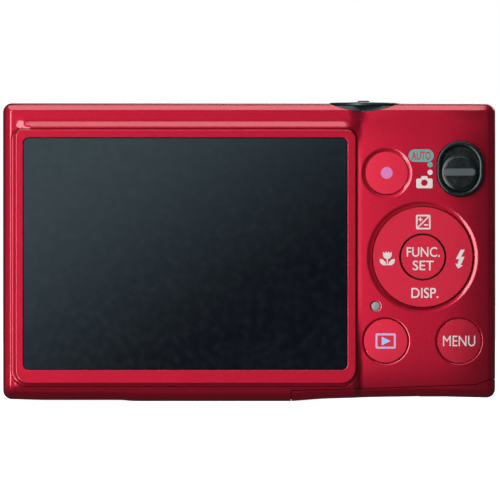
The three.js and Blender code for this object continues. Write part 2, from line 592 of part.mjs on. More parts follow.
const LATCH = { x0: 24.2, x1: 29.8, pivotY: 5.55, pivotZ: 10.6 };
function batteryLatch() {
  const { x0, x1, pivotY, pivotZ } = LATCH;
  const arm = block([x0, x1], [5.2, 5.9], [3.2, pivotZ]);
  const hook = block([x0 + 1.2, x1 - 1.2], [4.4, 5.3], [3.2, 4.05]);
  const hub = rodX(0.55, x0, x1, pivotY, pivotZ, SMALL_SIDES);
  return join(arm, hook, hub);
}

// Beside its hinge the panel is stepped in, so that its edge clears the cover's front wall when it swings.
function batteryDoor() {
  const step = { y: DOOR.hingeY - 1.5, z: DOOR.hingeZ - 1.22 };
  const share = plate(doorRegion(0), -FAR, DOOR.hingeY);
  const stepCut = block([-FAR, FAR], [step.y, FAR], [-FAR, step.z]);
  const panel = cut(common(OUTER.subtract(bodyForm(DOOR.skin)), share), stepCut);
  const bead = rodX(DOOR.bead, DOOR.left + 0.2, DOOR.right, DOOR.hingeY, DOOR.hingeZ);
  const rail = common(OUTER, block([DOOR.left, DOOR.right], [step.y - 0.3, DOOR.hingeY], [step.z, 1.6]));
  const pinHole = rodX(0.5, -FAR, FAR, DOOR.hingeY, DOOR.hingeZ);
  const earSlots = EARS.map(([e0, e1]) =>
    block([e0 - DOOR.slide - 0.3, e1 + 0.3], [step.y + 0.2, FAR], [-FAR, DOOR.hingeZ + 2]));
  return cut(join(panel, bead, rail), pinHole, ...earSlots);
}

const doorHingePin = () => rodX(0.4, DOOR.left + 0.6, 44.6, DOOR.hingeY, DOOR.hingeZ, SMALL_SIDES);

function cardSlot() {
  const shell = block([15.4, 42.6], [-4.6, -1.5], [9, 38]);
  const bay = block([16.8, 41.2], [-4.3, -1.9], [-1, 37.2]);
  return cut(shell, bay);
}

// The card's upper corner is cut off on one side.
function memoryCard() {
  const outline = new THREE.Shape();
  outline.moveTo(17, 4.6);
  outline.lineTo(41, 4.6);
  outline.lineTo(41, 36.6);
  outline.lineTo(21, 36.6);
  outline.lineTo(17, 32.6);
  outline.closePath();
  return plate(outline, -4.15, -2.05);
}

function tripodSocket() {
  return turned([[TRIPOD.bore, 0.0], [TRIPOD.outer, 0.0], [TRIPOD.outer, 4.6], [TRIPOD.outer - 0.8, 5.4],
    [TRIPOD.outer - 0.8, 6.2], [0, 6.2], [0, 5.5], [TRIPOD.bore, 5.5], [TRIPOD.bore, 0.0]], 'z',
  [TRIPOD.x, TRIPOD.y, 0]);
}

// ---------- left end ----------
function connector(z0, z1, y0, y1) {
  const shell = block([-45.3, -40.4], [y0, y1], [z0, z1]);
  const mouth = block([-46, -41.0], [y0 + 0.4, y1 - 0.4], [z0 + 0.4, z1 - 0.4]);
  const tongue = block([-44.6, -40.9], [(y0 + y1) / 2 - 0.35, (y0 + y1) / 2 + 0.35], [z0 + 1.2, z1 - 1.2]);
  return join(cut(shell, mouth), tongue);
}

function terminalCover() {
  const face = -WIDTH / 2;
  const panel = block([face, face + 0.8], [FLAP.y0, FLAP.y1], [FLAP.z0, FLAP.z1]);
  const bead = turned(rodProfile(0.42, FLAP.z0, FLAP.z1), 'z', [face + 0.45, FLAP.y1, 0], SMALL_SIDES);
  const lip = block([face + 0.2, face + 1.0], [FLAP.y0 + 0.3, FLAP.y0 + 1.0], [FLAP.z0 + 1, FLAP.z1 - 1]);
  return join(panel, bead, lip);
}

function strapBar() {
  const x = -WIDTH / 2 + 1.0;
  const low = STRAP.z0 + 0.1;
  const high = STRAP.z1 - 0.1;
  const bar = rodZ(0.6, low, high, x, 0.9, SMALL_SIDES);
  const pocket = block([x + 1.3, x + 1.8], [STRAP.y0 + 0.1, STRAP.y1 - 0.1], [low, high]);
  const ends = [[low, low + 0.6], [high - 0.6, high]].map(([z0, z1]) =>
    block([x, x + 1.5], [0.3, 1.5], [z0, z1]));
  return join(bar, pocket, ...ends);
}

// ---------- the assembly ----------
const camera = new THREE.Group();
function add(name, shape, material) {
  const mesh = new THREE.Mesh(geometry(shape), material);
  mesh.name = name;
  camera.add(mesh);
}

add('rear_cover', rearCover(), RED_METAL);
add('front_cover', frontCover(), RED_METAL);
add('screen_bezel', screenBezel(), RED_METAL);
add('screen_window', screenWindow(), BLACK_GLASS);
add('lcd_panel', lcdPanel(), BLACK_GLASS);
add('lcd_backplate', lcdBackplate(), STEEL);
add('chassis_frame', chassisFrame(), STEEL);
add('main_board', mainBoard(), BOARD_GREEN);
add('key_board', keyBoard(), BOARD_GREEN);
add('top_board', topBoard(), BOARD_GREEN);
add('sensor_board', sensorBoard(), BOARD_GREEN);
add('image_sensor', imageSensor(), BLACK_GLASS);
add('lens_housing', lensHousing(), BLACK_PLASTIC);
add('cam_ring', camRing(), BLACK_PLASTIC);
add('drive_gear', driveGear(), BRASS);
add('zoom_motor', zoomMotor(), STEEL);
add('outer_barrel', outerBarrel(), DARK_METAL);
add('inner_barrel', innerBarrel(), DARK_METAL);
add('front_lens', frontLens(), CLEAR);
add('barrier_ring', barrierRing(), DARK_METAL);
add('barrier_blade_upper', barrierBlade(1), BLACK_PLASTIC);
add('barrier_blade_lower', barrierBlade(-1), BLACK_PLASTIC);
add('lens_ring', lensRing(), ALUMINIUM);
add('flash_window', flashWindow(), CLEAR);
add('flash_reflector', flashReflector(), ALUMINIUM);
add('flash_tube', flashTube(), CLEAR);
add('flash_capacitor', flashCapacitor(), BLACK_PLASTIC);
add('af_lamp_window', afLampWindow(), CLEAR);
add('speaker', speaker(), BLACK_PLASTIC);
add('microphone', microphone(), STEEL);
add('top_key_base', topKeyBase(), DARK_METAL);
add('zoom_ring', zoomRing(), DARK_METAL);
add('shutter_button', shutterButton(), DARK_METAL);
add('power_button', powerButton(), ALUMINIUM);
add('mode_switch_bezel', modeSwitchBezel(), BLACK_PLASTIC);
add('mode_switch_knob', modeSwitchKnob(), BLACK_PLASTIC);
for (const key of ROUND_KEYS) add(key.name, roundKey(key), RED_PLASTIC);
add('set_button', setButton(), RED_PLASTIC);
add('dpad_ring', dpadRing(), RED_PLASTIC);
add('dpad_carrier', dpadCarrier(), RUBBER);
add('indicator_lens', indicatorLens(), GREY_PLASTIC);
add('battery_holder', batteryHolder(), BLACK_PLASTIC);
add('battery', battery(), BATTERY_GREY);
add('battery_contacts', batteryContacts(), BRASS);
add('battery_latch', batteryLatch(), LATCH_ORANGE);
add('battery_door', batteryDoor(), RED_PLASTIC);
add('door_hinge_pin', doorHingePin(), STEEL);
add('card_slot', cardSlot(), STEEL);
add('memory_card', memoryCard(), CARD_BLUE);
add('tripod_socket', tripodSocket(), STEEL);
add('usb_connector', connector(17, 24, -1.9, 2.0), STEEL);
add('hdmi_connector', connector(26.5, 34, -1.9, 2.0), STEEL);
add('terminal_cover', terminalCover(), RUBBER);
add('strap_bar', strapBar(), STEEL);
for (const one of SCREWS) add(one.name, screw(one, 0), STEEL);

export default camera;
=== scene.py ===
"""Looks of a compact digital camera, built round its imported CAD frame. Helpers count in millimetres."""

import json
import math

import bmesh
import bpy
import numpy as np
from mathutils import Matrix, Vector
from mathutils.geometry import delaunay_2d_cdt


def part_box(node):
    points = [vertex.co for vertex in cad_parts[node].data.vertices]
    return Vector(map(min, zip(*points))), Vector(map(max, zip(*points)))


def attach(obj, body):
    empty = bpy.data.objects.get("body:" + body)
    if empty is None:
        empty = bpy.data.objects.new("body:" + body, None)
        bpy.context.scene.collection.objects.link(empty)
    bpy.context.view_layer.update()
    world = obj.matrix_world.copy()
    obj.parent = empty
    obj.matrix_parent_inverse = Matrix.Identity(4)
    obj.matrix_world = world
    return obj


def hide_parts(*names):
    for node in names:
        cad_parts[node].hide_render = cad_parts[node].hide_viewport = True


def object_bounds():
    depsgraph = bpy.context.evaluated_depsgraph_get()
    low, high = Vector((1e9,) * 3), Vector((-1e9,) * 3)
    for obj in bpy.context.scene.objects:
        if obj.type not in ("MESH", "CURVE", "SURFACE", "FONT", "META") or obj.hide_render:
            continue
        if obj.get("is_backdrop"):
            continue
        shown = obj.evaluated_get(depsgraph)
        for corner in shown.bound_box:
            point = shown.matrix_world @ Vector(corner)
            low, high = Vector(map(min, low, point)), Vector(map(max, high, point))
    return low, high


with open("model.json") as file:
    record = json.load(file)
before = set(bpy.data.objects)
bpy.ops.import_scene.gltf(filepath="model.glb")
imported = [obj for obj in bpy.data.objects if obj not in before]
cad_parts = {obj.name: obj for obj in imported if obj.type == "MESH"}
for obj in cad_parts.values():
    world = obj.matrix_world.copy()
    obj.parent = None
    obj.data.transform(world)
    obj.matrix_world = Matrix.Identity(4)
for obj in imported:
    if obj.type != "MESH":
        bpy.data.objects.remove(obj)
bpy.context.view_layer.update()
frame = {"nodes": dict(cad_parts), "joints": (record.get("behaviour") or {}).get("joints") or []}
MM = 0.001


# ---------- places, read from the CAD frame ----------
def box_mm(node):
    low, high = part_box(node)
    return np.array(low) / MM, np.array(high) / MM


def middle(node):
    return sum(box_mm(node)) / 2


def round_box(node):
    """A round node's lowest and highest corners, and its radius in X."""
    low, high = box_mm(node)
    return low, high, (high[0] - low[0]) / 2


REAR_LOW, REAR_HIGH = box_mm("rear_cover")
FRONT_LOW, FRONT_HIGH = box_mm("front_cover")
BEZEL_LOW, BEZEL_HIGH = box_mm("screen_bezel")
WINDOW_LOW, WINDOW_HIGH = box_mm("screen_window")
HALF_WIDTH = REAR_HIGH[0]
BODY_TOP = REAR_HIGH[2]
REAR_FACE = REAR_LOW[1]
FRONT_FACE = FRONT_HIGH[1]
SEAM_Y = (REAR_HIGH[1] + FRONT_LOW[1]) / 2
WALL = 1.0
BODY_RECT = (-HALF_WIDTH, HALF_WIDTH, 0.0, BODY_TOP)
BODY_RADII = (1.65, 1.65, 1.75, 1.75)
EDGE_IN = 1.5
EDGE_DEEP = 2.0
BEVEL = {"from": 1.42, "slope": 0.46, "soft": 0.07, "round": 0.4}
BEZEL_RECT = (BEZEL_LOW[0], BEZEL_HIGH[0], BEZEL_LOW[2], BEZEL_HIGH[2])
BEZEL_RADII = (2.9, 2.9, 1.9, 1.7)
FLANGE = 0.6
LENS_X, LENS_Z = middle("lens_ring")[0], middle("lens_ring")[2]
LEVER_X, LEVER_Y = middle("top_key_base")[0], middle("top_key_base")[1]


def key_place(node, flange=FLANGE):
    """A key's centre in X and Z and the radius of its face, which is smaller than its flange."""
    low, high, radius = round_box(node)
    return (low[0] + high[0]) / 2, (low[2] + high[2]) / 2, radius - flange


MOVIE = key_place("movie_button")
PLAYBACK = key_place("playback_button")
MENU = key_place("menu_button")
PAD = key_place("dpad_ring", 0.45)
SET = key_place("set_button", 0.0)
LAMP = key_place("indicator_lens", 0.48)
SWITCH_LOW, SWITCH_HIGH = box_mm("mode_switch_bezel")
SWITCH = middle("mode_switch_bezel")
SWITCH_HALF = (SWITCH_HIGH - SWITCH_LOW) / 2


# ---------- small maths ----------
def smoothstep(t):
    t = np.clip(t, 0.0, 1.0)
    return t * t * (3 - 2 * t)


def ramp(t, soft=0.15):
    """From 0 to 1 along a straight slope with soft ends."""
    t = np.clip(t, 0.0, 1.0)
    scale = 2 * soft * (1 - soft)
    middle = (t - soft / 2) / (1 - soft)
    return np.where(t < soft, t * t / scale, np.where(t > 1 - soft, 1 - (1 - t) ** 2 / scale, middle))


def depth_in(x, z, rect, radii):
    """How far inside a rounded rectangle a point lies; negative outside."""
    x0, x1, z0, z1 = rect
    low_left, low_right, top_right, top_left = radii
    mid_x, mid_z = (x0 + x1) / 2, (z0 + z1) / 2
    top = np.where(x > mid_x, top_right, top_left)
    low = np.where(x > mid_x, low_right, low_left)
    r = np.where(z > mid_z, top, low)
    qx = np.abs(x - mid_x) - (x1 - x0) / 2 + r
    qz = np.abs(z - mid_z) - (z1 - z0) / 2 + r
    return r - np.hypot(np.maximum(qx, 0), np.maximum(qz, 0)) - np.minimum(np.maximum(qx, qz), 0)


def rounded_points(rect, radii, steps=(1, 1), arc=8):
    """A rounded rectangle as a loop of X, Z points; steps counts the points along each pair of sides."""
    x0, x1, z0, z1 = rect
    bl, br, tr, tl = radii
    corners = [(x0 + bl, z0 + bl, bl, 180), (x1 - br, z0 + br, br, 270), (x1 - tr, z1 - tr, tr, 0),
        (x0 + tl, z1 - tl, tl, 90)]
    arcs = []
    for cx, cz, r, start in corners:
        angles = np.radians(start + 90 * np.arange(arc + 1) / arc)
        arcs.append(np.column_stack([cx + r * np.cos(angles), cz + r * np.sin(angles)]))
    loop = []
    for k in range(4):
        n = steps[k % 2]
        start, end = arcs[k][-1], arcs[(k + 1) % 4][0]
        loop.append(arcs[k])
        loop.append(np.array([start + (end - start) * i / n for i in range(1, n)]).reshape(-1, 2))
    return np.vstack(loop)


def grown(rect, by):
    return rect[0] - by, rect[1] + by, rect[2] - by, rect[3] + by


def grown_loop(rect, radii, by, steps=(1, 1), arc=8):
    """A rounded rectangle's loop, by further out on every side."""
    return rounded_points(grown(rect, by), [r + by for r in radii], steps, arc)


def away_from(x, z, at):
    return np.hypot(x - at[0], z - at[1])


def circle(x, z, radius, count):
    angles = 2 * np.pi * np.arange(count) / count
    return np.column_stack([x + radius * np.cos(angles), z + radius * np.sin(angles)])


# ---------- meshes ----------
def added(name, data):
    """A new object in the scene."""
    obj = bpy.data.objects.new(name, data)
    bpy.context.scene.collection.objects.link(obj)
    return obj


def mesh_object(name, verts, faces, material=None, sharp=35):
    mesh = bpy.data.meshes.new(name)
    mesh.from_pydata([tuple(float(c) * MM for c in v) for v in verts], [], [tuple(f) for f in faces])
    obj = added(name, mesh)
    if material is not None:
        mesh.materials.append(material)
    tidy_mesh(obj, sharp)
    return obj


def tidy_mesh(obj, sharp=35, outward=True):
    bm = bmesh.new()
    bm.from_mesh(obj.data)
    bmesh.ops.remove_doubles(bm, verts=bm.verts, dist=1e-7)
    bmesh.ops.dissolve_degenerate(bm, edges=bm.edges, dist=1e-8)
    if outward:
        bmesh.ops.recalc_face_normals(bm, faces=bm.faces)
    bm.to_mesh(obj.data)
    bm.free()
    obj.data.shade_smooth()
    obj.data.set_sharp_from_angle(angle=math.radians(sharp))


def place(obj, body, *nodes, slot=None):
    """Ties a finished piece to its body and hides the CAD nodes it stands for; the slot is not used."""
    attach(obj, body)
    if nodes:
        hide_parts(*nodes)
    return obj


def filleted(points, size, closed=False):
    """The same profile with its corners rounded off by about size."""
    points = [np.array(p, float) for p in points]
    count = len(points)
    made = []
    for i, corner in enumerate(points):
        if not closed and i in (0, count - 1):
            made.append(corner)
            continue
        before = points[i - 1] - corner
        after = points[(i + 1) % count] - corner
        lb, la = np.linalg.norm(before), np.linalg.norm(after)
        a = corner + before / lb * min(size, 0.45 * lb)
        b = corner + after / la * min(size, 0.45 * la)
        for t in (0.0, 0.33, 0.67, 1.0):
            made.append((1 - t) ** 2 * a + 2 * t * (1 - t) * corner + t * t * b)
    return made


def along(axis, flat, height):
    """Pairs set at a height along an axis: X, Z pairs along Y, Y, Z pairs along X and X, Y pairs along Z."""
    columns = [flat[:, 0], flat[:, 1]]
    columns.insert("xyz".index(axis), np.full(len(flat), float(height)))
    return np.column_stack(columns)


def stepped(radius, height, *pairs):
    """Points of a profile given by their steps from a radius and a height."""
    return [(radius + a, height + b) for a, b in pairs]


def ring_points(profile, axis, centre, count):
    """The points of a turned form, one row for each profile point."""
    return [along(axis, circle(*centre, r, count), h) for r, h in profile]


END_LEVEL = 0.97


def bridged(rows, closed_profile=False):
    """Vertices and faces of a stack of equal loops, closed by fans at both ends where they aren't a loop."""
    count, levels = len(rows[0]), len(rows)
    verts = [p for row in rows for p in row]
    faces = []
    for i in range(levels if closed_profile else levels - 1):
        j = (i + 1) % levels
        for k in range(count):
            m = (k + 1) % count
            faces.append((i * count + k, i * count + m, j * count + m, j * count + k))
    if not closed_profile:
        for level in (0, levels - 1):
            hub = np.mean(rows[level], axis=0)
            start = len(verts)
            verts += [hub + (p - hub) * END_LEVEL for p in rows[level]] + [hub]
            for k in range(count):
                m = (k + 1) % count
                faces.append((level * count + k, level * count + m, start + m, start + k))
                faces.append((start + count, start + k, start + m))
    return verts, faces


def turned(name, profile, axis, centre, material, fillet=0.08, closed=False, count=96):
    """A turned piece from radius, height pairs; a profile that isn't closed runs from axis to axis."""
    if fillet:
        profile = filleted(profile, fillet, closed)
    profile = [(max(r, 0.001 if not closed else r), h) for r, h in profile]
    return mesh_object(name, *bridged(ring_points(profile, axis, centre, count), closed), material)


def lofted(name, sections, material, closed=False, sharp=35):
    """A piece from a stack of X, Z loops, each with its own Y: a number, or a function of x and z."""
    rows = []
    for loop, y in sections:
        row = along("y", loop, 0)
        row[:, 1] = y(loop[:, 0], loop[:, 1]) if callable(y) else y
        rows.append(row)
    return mesh_object(name, *bridged(rows, closed), material, sharp)


def brick(name, low, high):
    verts = [(x, y, z) for x in (low[0], high[0]) for y in (low[1], high[1]) for z in (low[2], high[2])]
    faces = [(0, 1, 3, 2), (4, 6, 7, 5), (0, 4, 5, 1), (2, 3, 7, 6), (0, 2, 6, 4), (1, 5, 7, 3)]
    return mesh_object(name, verts, faces)


def prism(name, outline, low, high):
    """A solid that runs along Y, with an outline of X, Z pairs."""
    n = len(outline)
    verts = [(x, y, z) for y in (low, high) for x, z in outline]
    faces = [tuple(range(n)), tuple(range(2 * n - 1, n - 1, -1))]
    faces += [(k, (k + 1) % n, n + (k + 1) % n, n + k) for k in range(n)]
    return mesh_object(name, verts, faces)


def rod(name, radius, axis, centre, low, high, material=None, count=64):
    return turned(name, [(0, low), (radius, low), (radius, high), (0, high)], axis, centre, material,
        fillet=0, count=count)


def evaluated_mesh(obj):
    bpy.context.view_layer.update()
    return bpy.data.meshes.new_from_object(obj.evaluated_get(bpy.context.evaluated_depsgraph_get()))


def combine(obj, operation, *others, keep=()):
    """Cuts, joins or intersects obj with the others, which are used up unless they are in keep."""
    for other in others:
        modifier = obj.modifiers.new("combine", "BOOLEAN")
        modifier.operation = operation
        modifier.solver = "MANIFOLD"
        modifier.object = other
    made = evaluated_mesh(obj)
    obj.modifiers.clear()
    obj.data = made
    for other in others:
        if other not in keep:
            bpy.data.objects.remove(other)
    tidy_mesh(obj, outward=False)
    return obj


def copied(obj, name):
    return added(name, obj.data.copy())


# ---------- the body's skin ----------
def low_edge(x):
    """The lower edge rises a little to both ends; its corners are read along the CAD model's underside."""
    knots = [(-HALF_WIDTH, 0.4), (-39, 0.2), (-24, 0.2), (-22, 0), (8, 0), (14, 0.45), (24, 0.75), (34, 0.9),
        (HALF_WIDTH, 0.6)]
    return np.interp(x, [k[0] for k in knots], [k[1] for k in knots])


def lift(x, z):
    return low_edge(x) * (1 - smoothstep((z - 4.0) / 10.0))


def body_depth(x, z):
    return depth_in(x, z - lift(x, z), BODY_RECT, BODY_RADII)


def body_loop(inset):
    """The body's outline in X and Z, drawn in by inset."""
    radii = [max(r - inset, 0.12) for r in BODY_RADII]
    loop = rounded_points(grown(BODY_RECT, -inset), radii, steps=(72, 44), arc=10)
    loop[:, 1] += lift(loop[:, 0], loop[:, 1])
    return loop


def quarter(depth, wide, deep):
    along = np.clip(1 - depth / wide, 0, 1)
    return deep * (1 - np.sqrt(np.maximum(1 - along * along, 0)))


def edge_drop(depth):
    """How far the edge falls back, by distance from the outline: a bevel, then a tight round."""
    bevel = BEVEL["slope"] * BEVEL["soft"] * np.logaddexp(0, (BEVEL["from"] - depth) / BEVEL["soft"])
    bevel = np.minimum(bevel, BEVEL["slope"] * BEVEL["from"]) * smoothstep((EDGE_IN + 0.4 - depth) / 0.3)
    return bevel + quarter(depth, BEVEL["round"], EDGE_DEEP - BEVEL["slope"] * BEVEL["from"])


KEY_ZONE = {"x": 31.5, "z": 27.0, "right": 1.6, "left": 0.29, "low": 3.0}
BROW = {"low": 46.0, "high": 54.9, "depth": 0.9}
UNDER_SCREEN = 0.42
FRAME_BASE = 0.3
FRAME_RISE = 0.62
FRAME_REACH = 2.0
GROOVE = {"reach": 0.25, "deep": 0.2}


def key_zone(x, z):
    """The surface that carries the keys: level in the middle, falling away to the sides, top and bottom."""
    right = np.clip((x - KEY_ZONE["x"]) / (HALF_WIDTH - KEY_ZONE["x"]), 0, None)
    left = np.clip((KEY_ZONE["x"] - x) / (KEY_ZONE["x"] - BEZEL_RECT[1]), 0, None)
    brow = np.clip((z - BROW["low"]) / (BROW["high"] - BROW["low"]), 0, 1)
    below = np.clip((KEY_ZONE["z"] - z) / KEY_ZONE["z"], 0, None)
    return (REAR_FACE + KEY_ZONE["right"] * right ** 4 + KEY_ZONE["left"] * left ** 2 + BROW["depth"]
        * brow ** 4 * (5 - 4 * brow) + KEY_ZONE["low"] * below ** 5)


def rear_base(x, z):
    """The screen side without wells, groove and rounded edge. Above the screen it swells to the frame."""
    left, right, low, top = BEZEL_RECT
    rise = ramp((top + FRAME_REACH - z) / (FRAME_REACH - GROOVE["reach"]))
    rise = rise * smoothstep((z - top + 1.5) / 1.2) * smoothstep((x - left - 1.6) / 0.9)
    rise = rise * smoothstep((right + 0.2 - x) / 2.2)
    round_screen = REAR_FACE + FRAME_BASE - FRAME_RISE * rise + UNDER_SCREEN * np.clip(low - z, 0, None)
    share = smoothstep((x - right - 0.05) / 0.95)
    return round_screen * (1 - share) + key_zone(x, z) * share


def well(key, clearance, mouth, depth, count):
    """The dished hollow round a key: from the key's bore out to its mouth."""
    return {"at": key[:2], "bore": key[2] + clearance, "mouth": key[2] + mouth, "depth": depth,
        "count": count}


WELLS = [well(MOVIE, 0.1, 0.72, 0.225, 96), well(PLAYBACK, 0.1, 0.34, 0.2, 96),
    well(MENU, 0.1, 0.34, 0.2, 96), well(PAD, 0.14, 1.06, 0.36, 160), well(LAMP, 0.06, 0.2, 0.08, 40)]


def rear_y(x, z):
    """The finished screen side."""
    away = -depth_in(x, z, BEZEL_RECT, BEZEL_RADII)
    y = rear_base(x, z) + edge_drop(body_depth(x, z))
    y = y + GROOVE["deep"] * (1 - smoothstep((away - 0.1) / (GROOVE["reach"] - 0.1)))
    for dish in WELLS:
        out = away_from(x, z, dish["at"])
        y = y + dish["depth"] * np.clip((dish["mouth"] - out) / (dish["mouth"] - dish["bore"]), 0, 1)
    return y


def front_base(x, z):
    return FRONT_FACE - 0.3 * (x / HALF_WIDTH) ** 2 - 0.2 * ((z - LENS_Z) / LENS_Z) ** 2


def front_y(x, z):
    return front_base(x, z) - edge_drop(body_depth(x, z))


EDGE_INSETS = [BEVEL["round"] * (1 - math.cos(math.radians(a))) for a in (0, 30, 45, 60, 75, 90)]
EDGE_INSETS += [0.6, 0.85, 1.1, 1.28, 1.38, 1.46, 1.56]


def within(points, loop):
    """Which points lie inside a loop: a line to their right crosses it an odd number of times."""
    x, z = points[:, :1], points[:, 1:]
    a, b = loop, np.roll(loop, -1, axis=0)
    crossed = (a[:, 1] > z) != (b[:, 1] > z)
    rise = np.where(a[:, 1] == b[:, 1], 1.0, b[:, 1] - a[:, 1])
    meets = a[:, 0] + (z - a[:, 1]) * (b[:, 0] - a[:, 0]) / rise
    return (crossed & (x < meets)).sum(axis=1) % 2 == 1


def skin(loops, lines, holes, spacing, clear):
    """A flat triangle mesh in X and Z inside the body's outline. Its edges follow the closed loops and the
    open lines, holes test for what is cut out, and clear says where loose points may lie."""
    verts, edges = [], []
    for loop in loops + lines:
        first = len(verts)
        verts += [Vector((float(a), float(b))) for a, b in loop]
        edges += [(first + i, first + i + 1) for i in range(len(loop) - 1)]
        if any(loop is one for one in loops):
            edges.append((first + len(loop) - 1, first))
    xs = np.arange(-HALF_WIDTH, HALF_WIDTH, spacing)
    zs = np.arange(0, BODY_TOP, spacing * 0.866)
    grid = np.array([(x + (spacing / 2 if i % 2 else 0), z) for i, z in enumerate(zs) for x in xs])
    gx, gz = grid[:, 0], grid[:, 1]
    free = (body_depth(gx, gz) > EDGE_IN + 1.0) & clear(gx, gz)
    verts += [Vector((float(a), float(b))) for a, b in grid[free]]
    out = delaunay_2d_cdt(verts, edges, [], 0, 1e-5, True)
    points = np.array([tuple(v) for v in out[0]])
    faces = np.array([tuple(f) for f in out[2]])
    mids = points[faces].mean(axis=1)
    kept = within(mids, loops[0])
    for test in holes:
        kept &= ~test(mids[:, 0], mids[:, 1])
    index = {}
    for new, olds in enumerate(out[3]):
        for old in olds:
            index[old] = new
    rim = [index[i] for i in range(len(loops[0]))]
    return points, faces[kept], rim


SCREEN_HOLE = 0.9
STADIUM_RADIUS = SWITCH_HALF[0] - 0.01


STADIUM_RECT = (SWITCH_LOW[0], SWITCH_HIGH[0], SWITCH_LOW[2], SWITCH_HIGH[2])


def stadium_loop(by, arc=24):
    return grown_loop(STADIUM_RECT, [STADIUM_RADIUS] * 4, by, (1, 3), arc)


def stadium_depth(x, z):
    return depth_in(x, z, STADIUM_RECT, [STADIUM_RADIUS] * 4)


def rear_skin():
    loops = [body_loop(d) for d in EDGE_INSETS + [1.8, 2.2]]
    for away in (-SCREEN_HOLE, 0.05, 0.1, 0.15, 0.2, 0.25, 0.3, 0.4):
        loops.append(grown_loop(BEZEL_RECT, BEZEL_RADII, away, (60, 44), 12))
    left, right, low, top = BEZEL_RECT
    along = np.linspace(left - 0.4, HALF_WIDTH - 2.6, 90)
    up = np.linspace(low - 0.6, top + 1.2, 60)
    lines = []
    for away in (0.6, 0.85, 1.15, 1.5, 1.9, 2.4):
        lines.append(np.column_stack([along, np.full(len(along), top + away)]))
        lines.append(np.column_stack([np.full(len(up), right + away), up]))
        if away < 1.5:
            lines.append(np.column_stack([np.full(len(up), left - away), up]))
    for dish in WELLS:
        bore, mouth = dish["bore"], dish["mouth"]
        for radius in (bore, (bore + mouth) / 2, mouth - 0.03, mouth + 0.03, mouth + 0.25):
            loops.append(circle(*dish["at"], radius, dish["count"]))
    loops += [stadium_loop(by) for by in (0.05, 0.12, 0.4)]

    def clear(x, z):
        away = -depth_in(x, z, BEZEL_RECT, BEZEL_RADII)
        free = (away > 2.7) & (stadium_depth(x, z) < -0.7)
        for dish in WELLS:
            free &= away_from(x, z, dish["at"]) > dish["mouth"] + 0.5
        return free

    tests = [lambda x, z: depth_in(x, z, BEZEL_RECT, BEZEL_RADII) > SCREEN_HOLE, lambda x,
        z: stadium_depth(x, z) > -0.05]
    for dish in WELLS:
        tests.append(lambda x, z, d=dish: away_from(x, z, d["at"]) < d["bore"] - 1e-3)
    return skin(loops, lines, tests, 0.8, clear)


FLASH_LOW, FLASH_HIGH = box_mm("flash_window")
FLASH_RECT = (FLASH_LOW[0], FLASH_HIGH[0], FLASH_LOW[2], FLASH_HIGH[2])
FLASH_RADII = (1.0,) * 4
AF_PLACE = key_place("af_lamp_window", 0.0)
MIC = middle("microphone")
RING_LOW, RING_HIGH, RING_RADIUS = round_box("lens_ring")
LENS_HOLE = RING_RADIUS + 0.08


def front_skin():
    loops = [body_loop(d) for d in EDGE_INSETS + [1.8, 2.2]]
    holes = [((LENS_X, LENS_Z), LENS_HOLE, 128), (AF_PLACE[:2], AF_PLACE[2] + 0.08, 48)]
    holes += [((MIC[0] + dx, MIC[2]), 0.35, 24) for dx in (-0.9, 0.9)]
    for at, radius, count in holes:
        loops += [circle(*at, radius, count), circle(*at, radius + 0.3, count)]
    loops += [grown_loop(FLASH_RECT, FLASH_RADII, by, (8, 5)) for by in (0.08, 0.4)]

    def clear(x, z):
        free = depth_in(x, z, FLASH_RECT, FLASH_RADII) < -0.8
        for at, radius, _ in holes:
            free &= away_from(x, z, at) > radius + 0.6
        return free

    tests = [lambda x, z: depth_in(x, z, FLASH_RECT, FLASH_RADII) > -0.08]
    for at, radius, _ in holes:
        tests.append(lambda x, z, a=at, r=radius: away_from(x, z, a) < r - 1e-3)
    return skin(loops, [], tests, 1.2, clear)


def plain_skin():
    """The same outline and rounded edge with nothing cut in the middle."""
    loops = [body_loop(d) for d in EDGE_INSETS]
    return skin(loops, [], [], 2.0, lambda x, z: np.ones(len(x), bool))


def inward(x, z, base, toward):
    """Where the wall's inner side lies behind a point of the skin; toward is +1 for the screen side."""
    depth = body_depth(x, z)
    step = 0.02
    gx = (body_depth(x + step, z) - body_depth(x - step, z)) / (2 * step)
    gz = (body_depth(x, z + step) - body_depth(x, z - step)) / (2 * step)
    length = np.maximum(np.hypot(gx, gz), 1e-6)
    gx, gz = gx / length, gz / length
    level = np.clip(1 - depth / EDGE_IN, 0, 1)
    across = level / EDGE_IN
    along = np.sqrt(np.maximum(1 - level * level, 0)) / EDGE_DEEP
    size = np.hypot(across, along)
    across, along = across / size, along / size
    y = base + toward * quarter(depth, EDGE_IN, EDGE_DEEP)
    return np.column_stack([x + gx * across * WALL, y + toward * along * WALL, z + gz * across * WALL])


def closed_shell(name, rear, front, hollow, material):
    """The whole outer skin as one closed solid, or hollow, as a wall with its holes."""
    sides = [(rear, rear_y if hollow else lambda x, z: rear_base(x, z) + edge_drop(body_depth(x, z)),
        rear_base, 1), (front, front_y, front_base, -1)]
    outer, inner, faces, rims = [], [], [], []
    for (points, tris, rim), height, base, toward in sides:
        start = len(outer)
        x, z = points[:, 0], points[:, 1]
        outer += list(np.column_stack([x, height(x, z), z]))
        inner += list(inward(x, z, base(x, z), toward))
        faces += [tuple(start + int(i) for i in t) for t in (tris if toward > 0 else tris[:, ::-1])]
        rims.append([start + i for i in rim])
    count = len(rims[0])
    for k in range(count):
        m = (k + 1) % count
        faces.append((rims[0][m], rims[0][k], rims[1][k], rims[1][m]))
    if hollow:
        faces = walled(faces, len(outer))
        outer += inner
    return mesh_object(name, outer, faces, material)


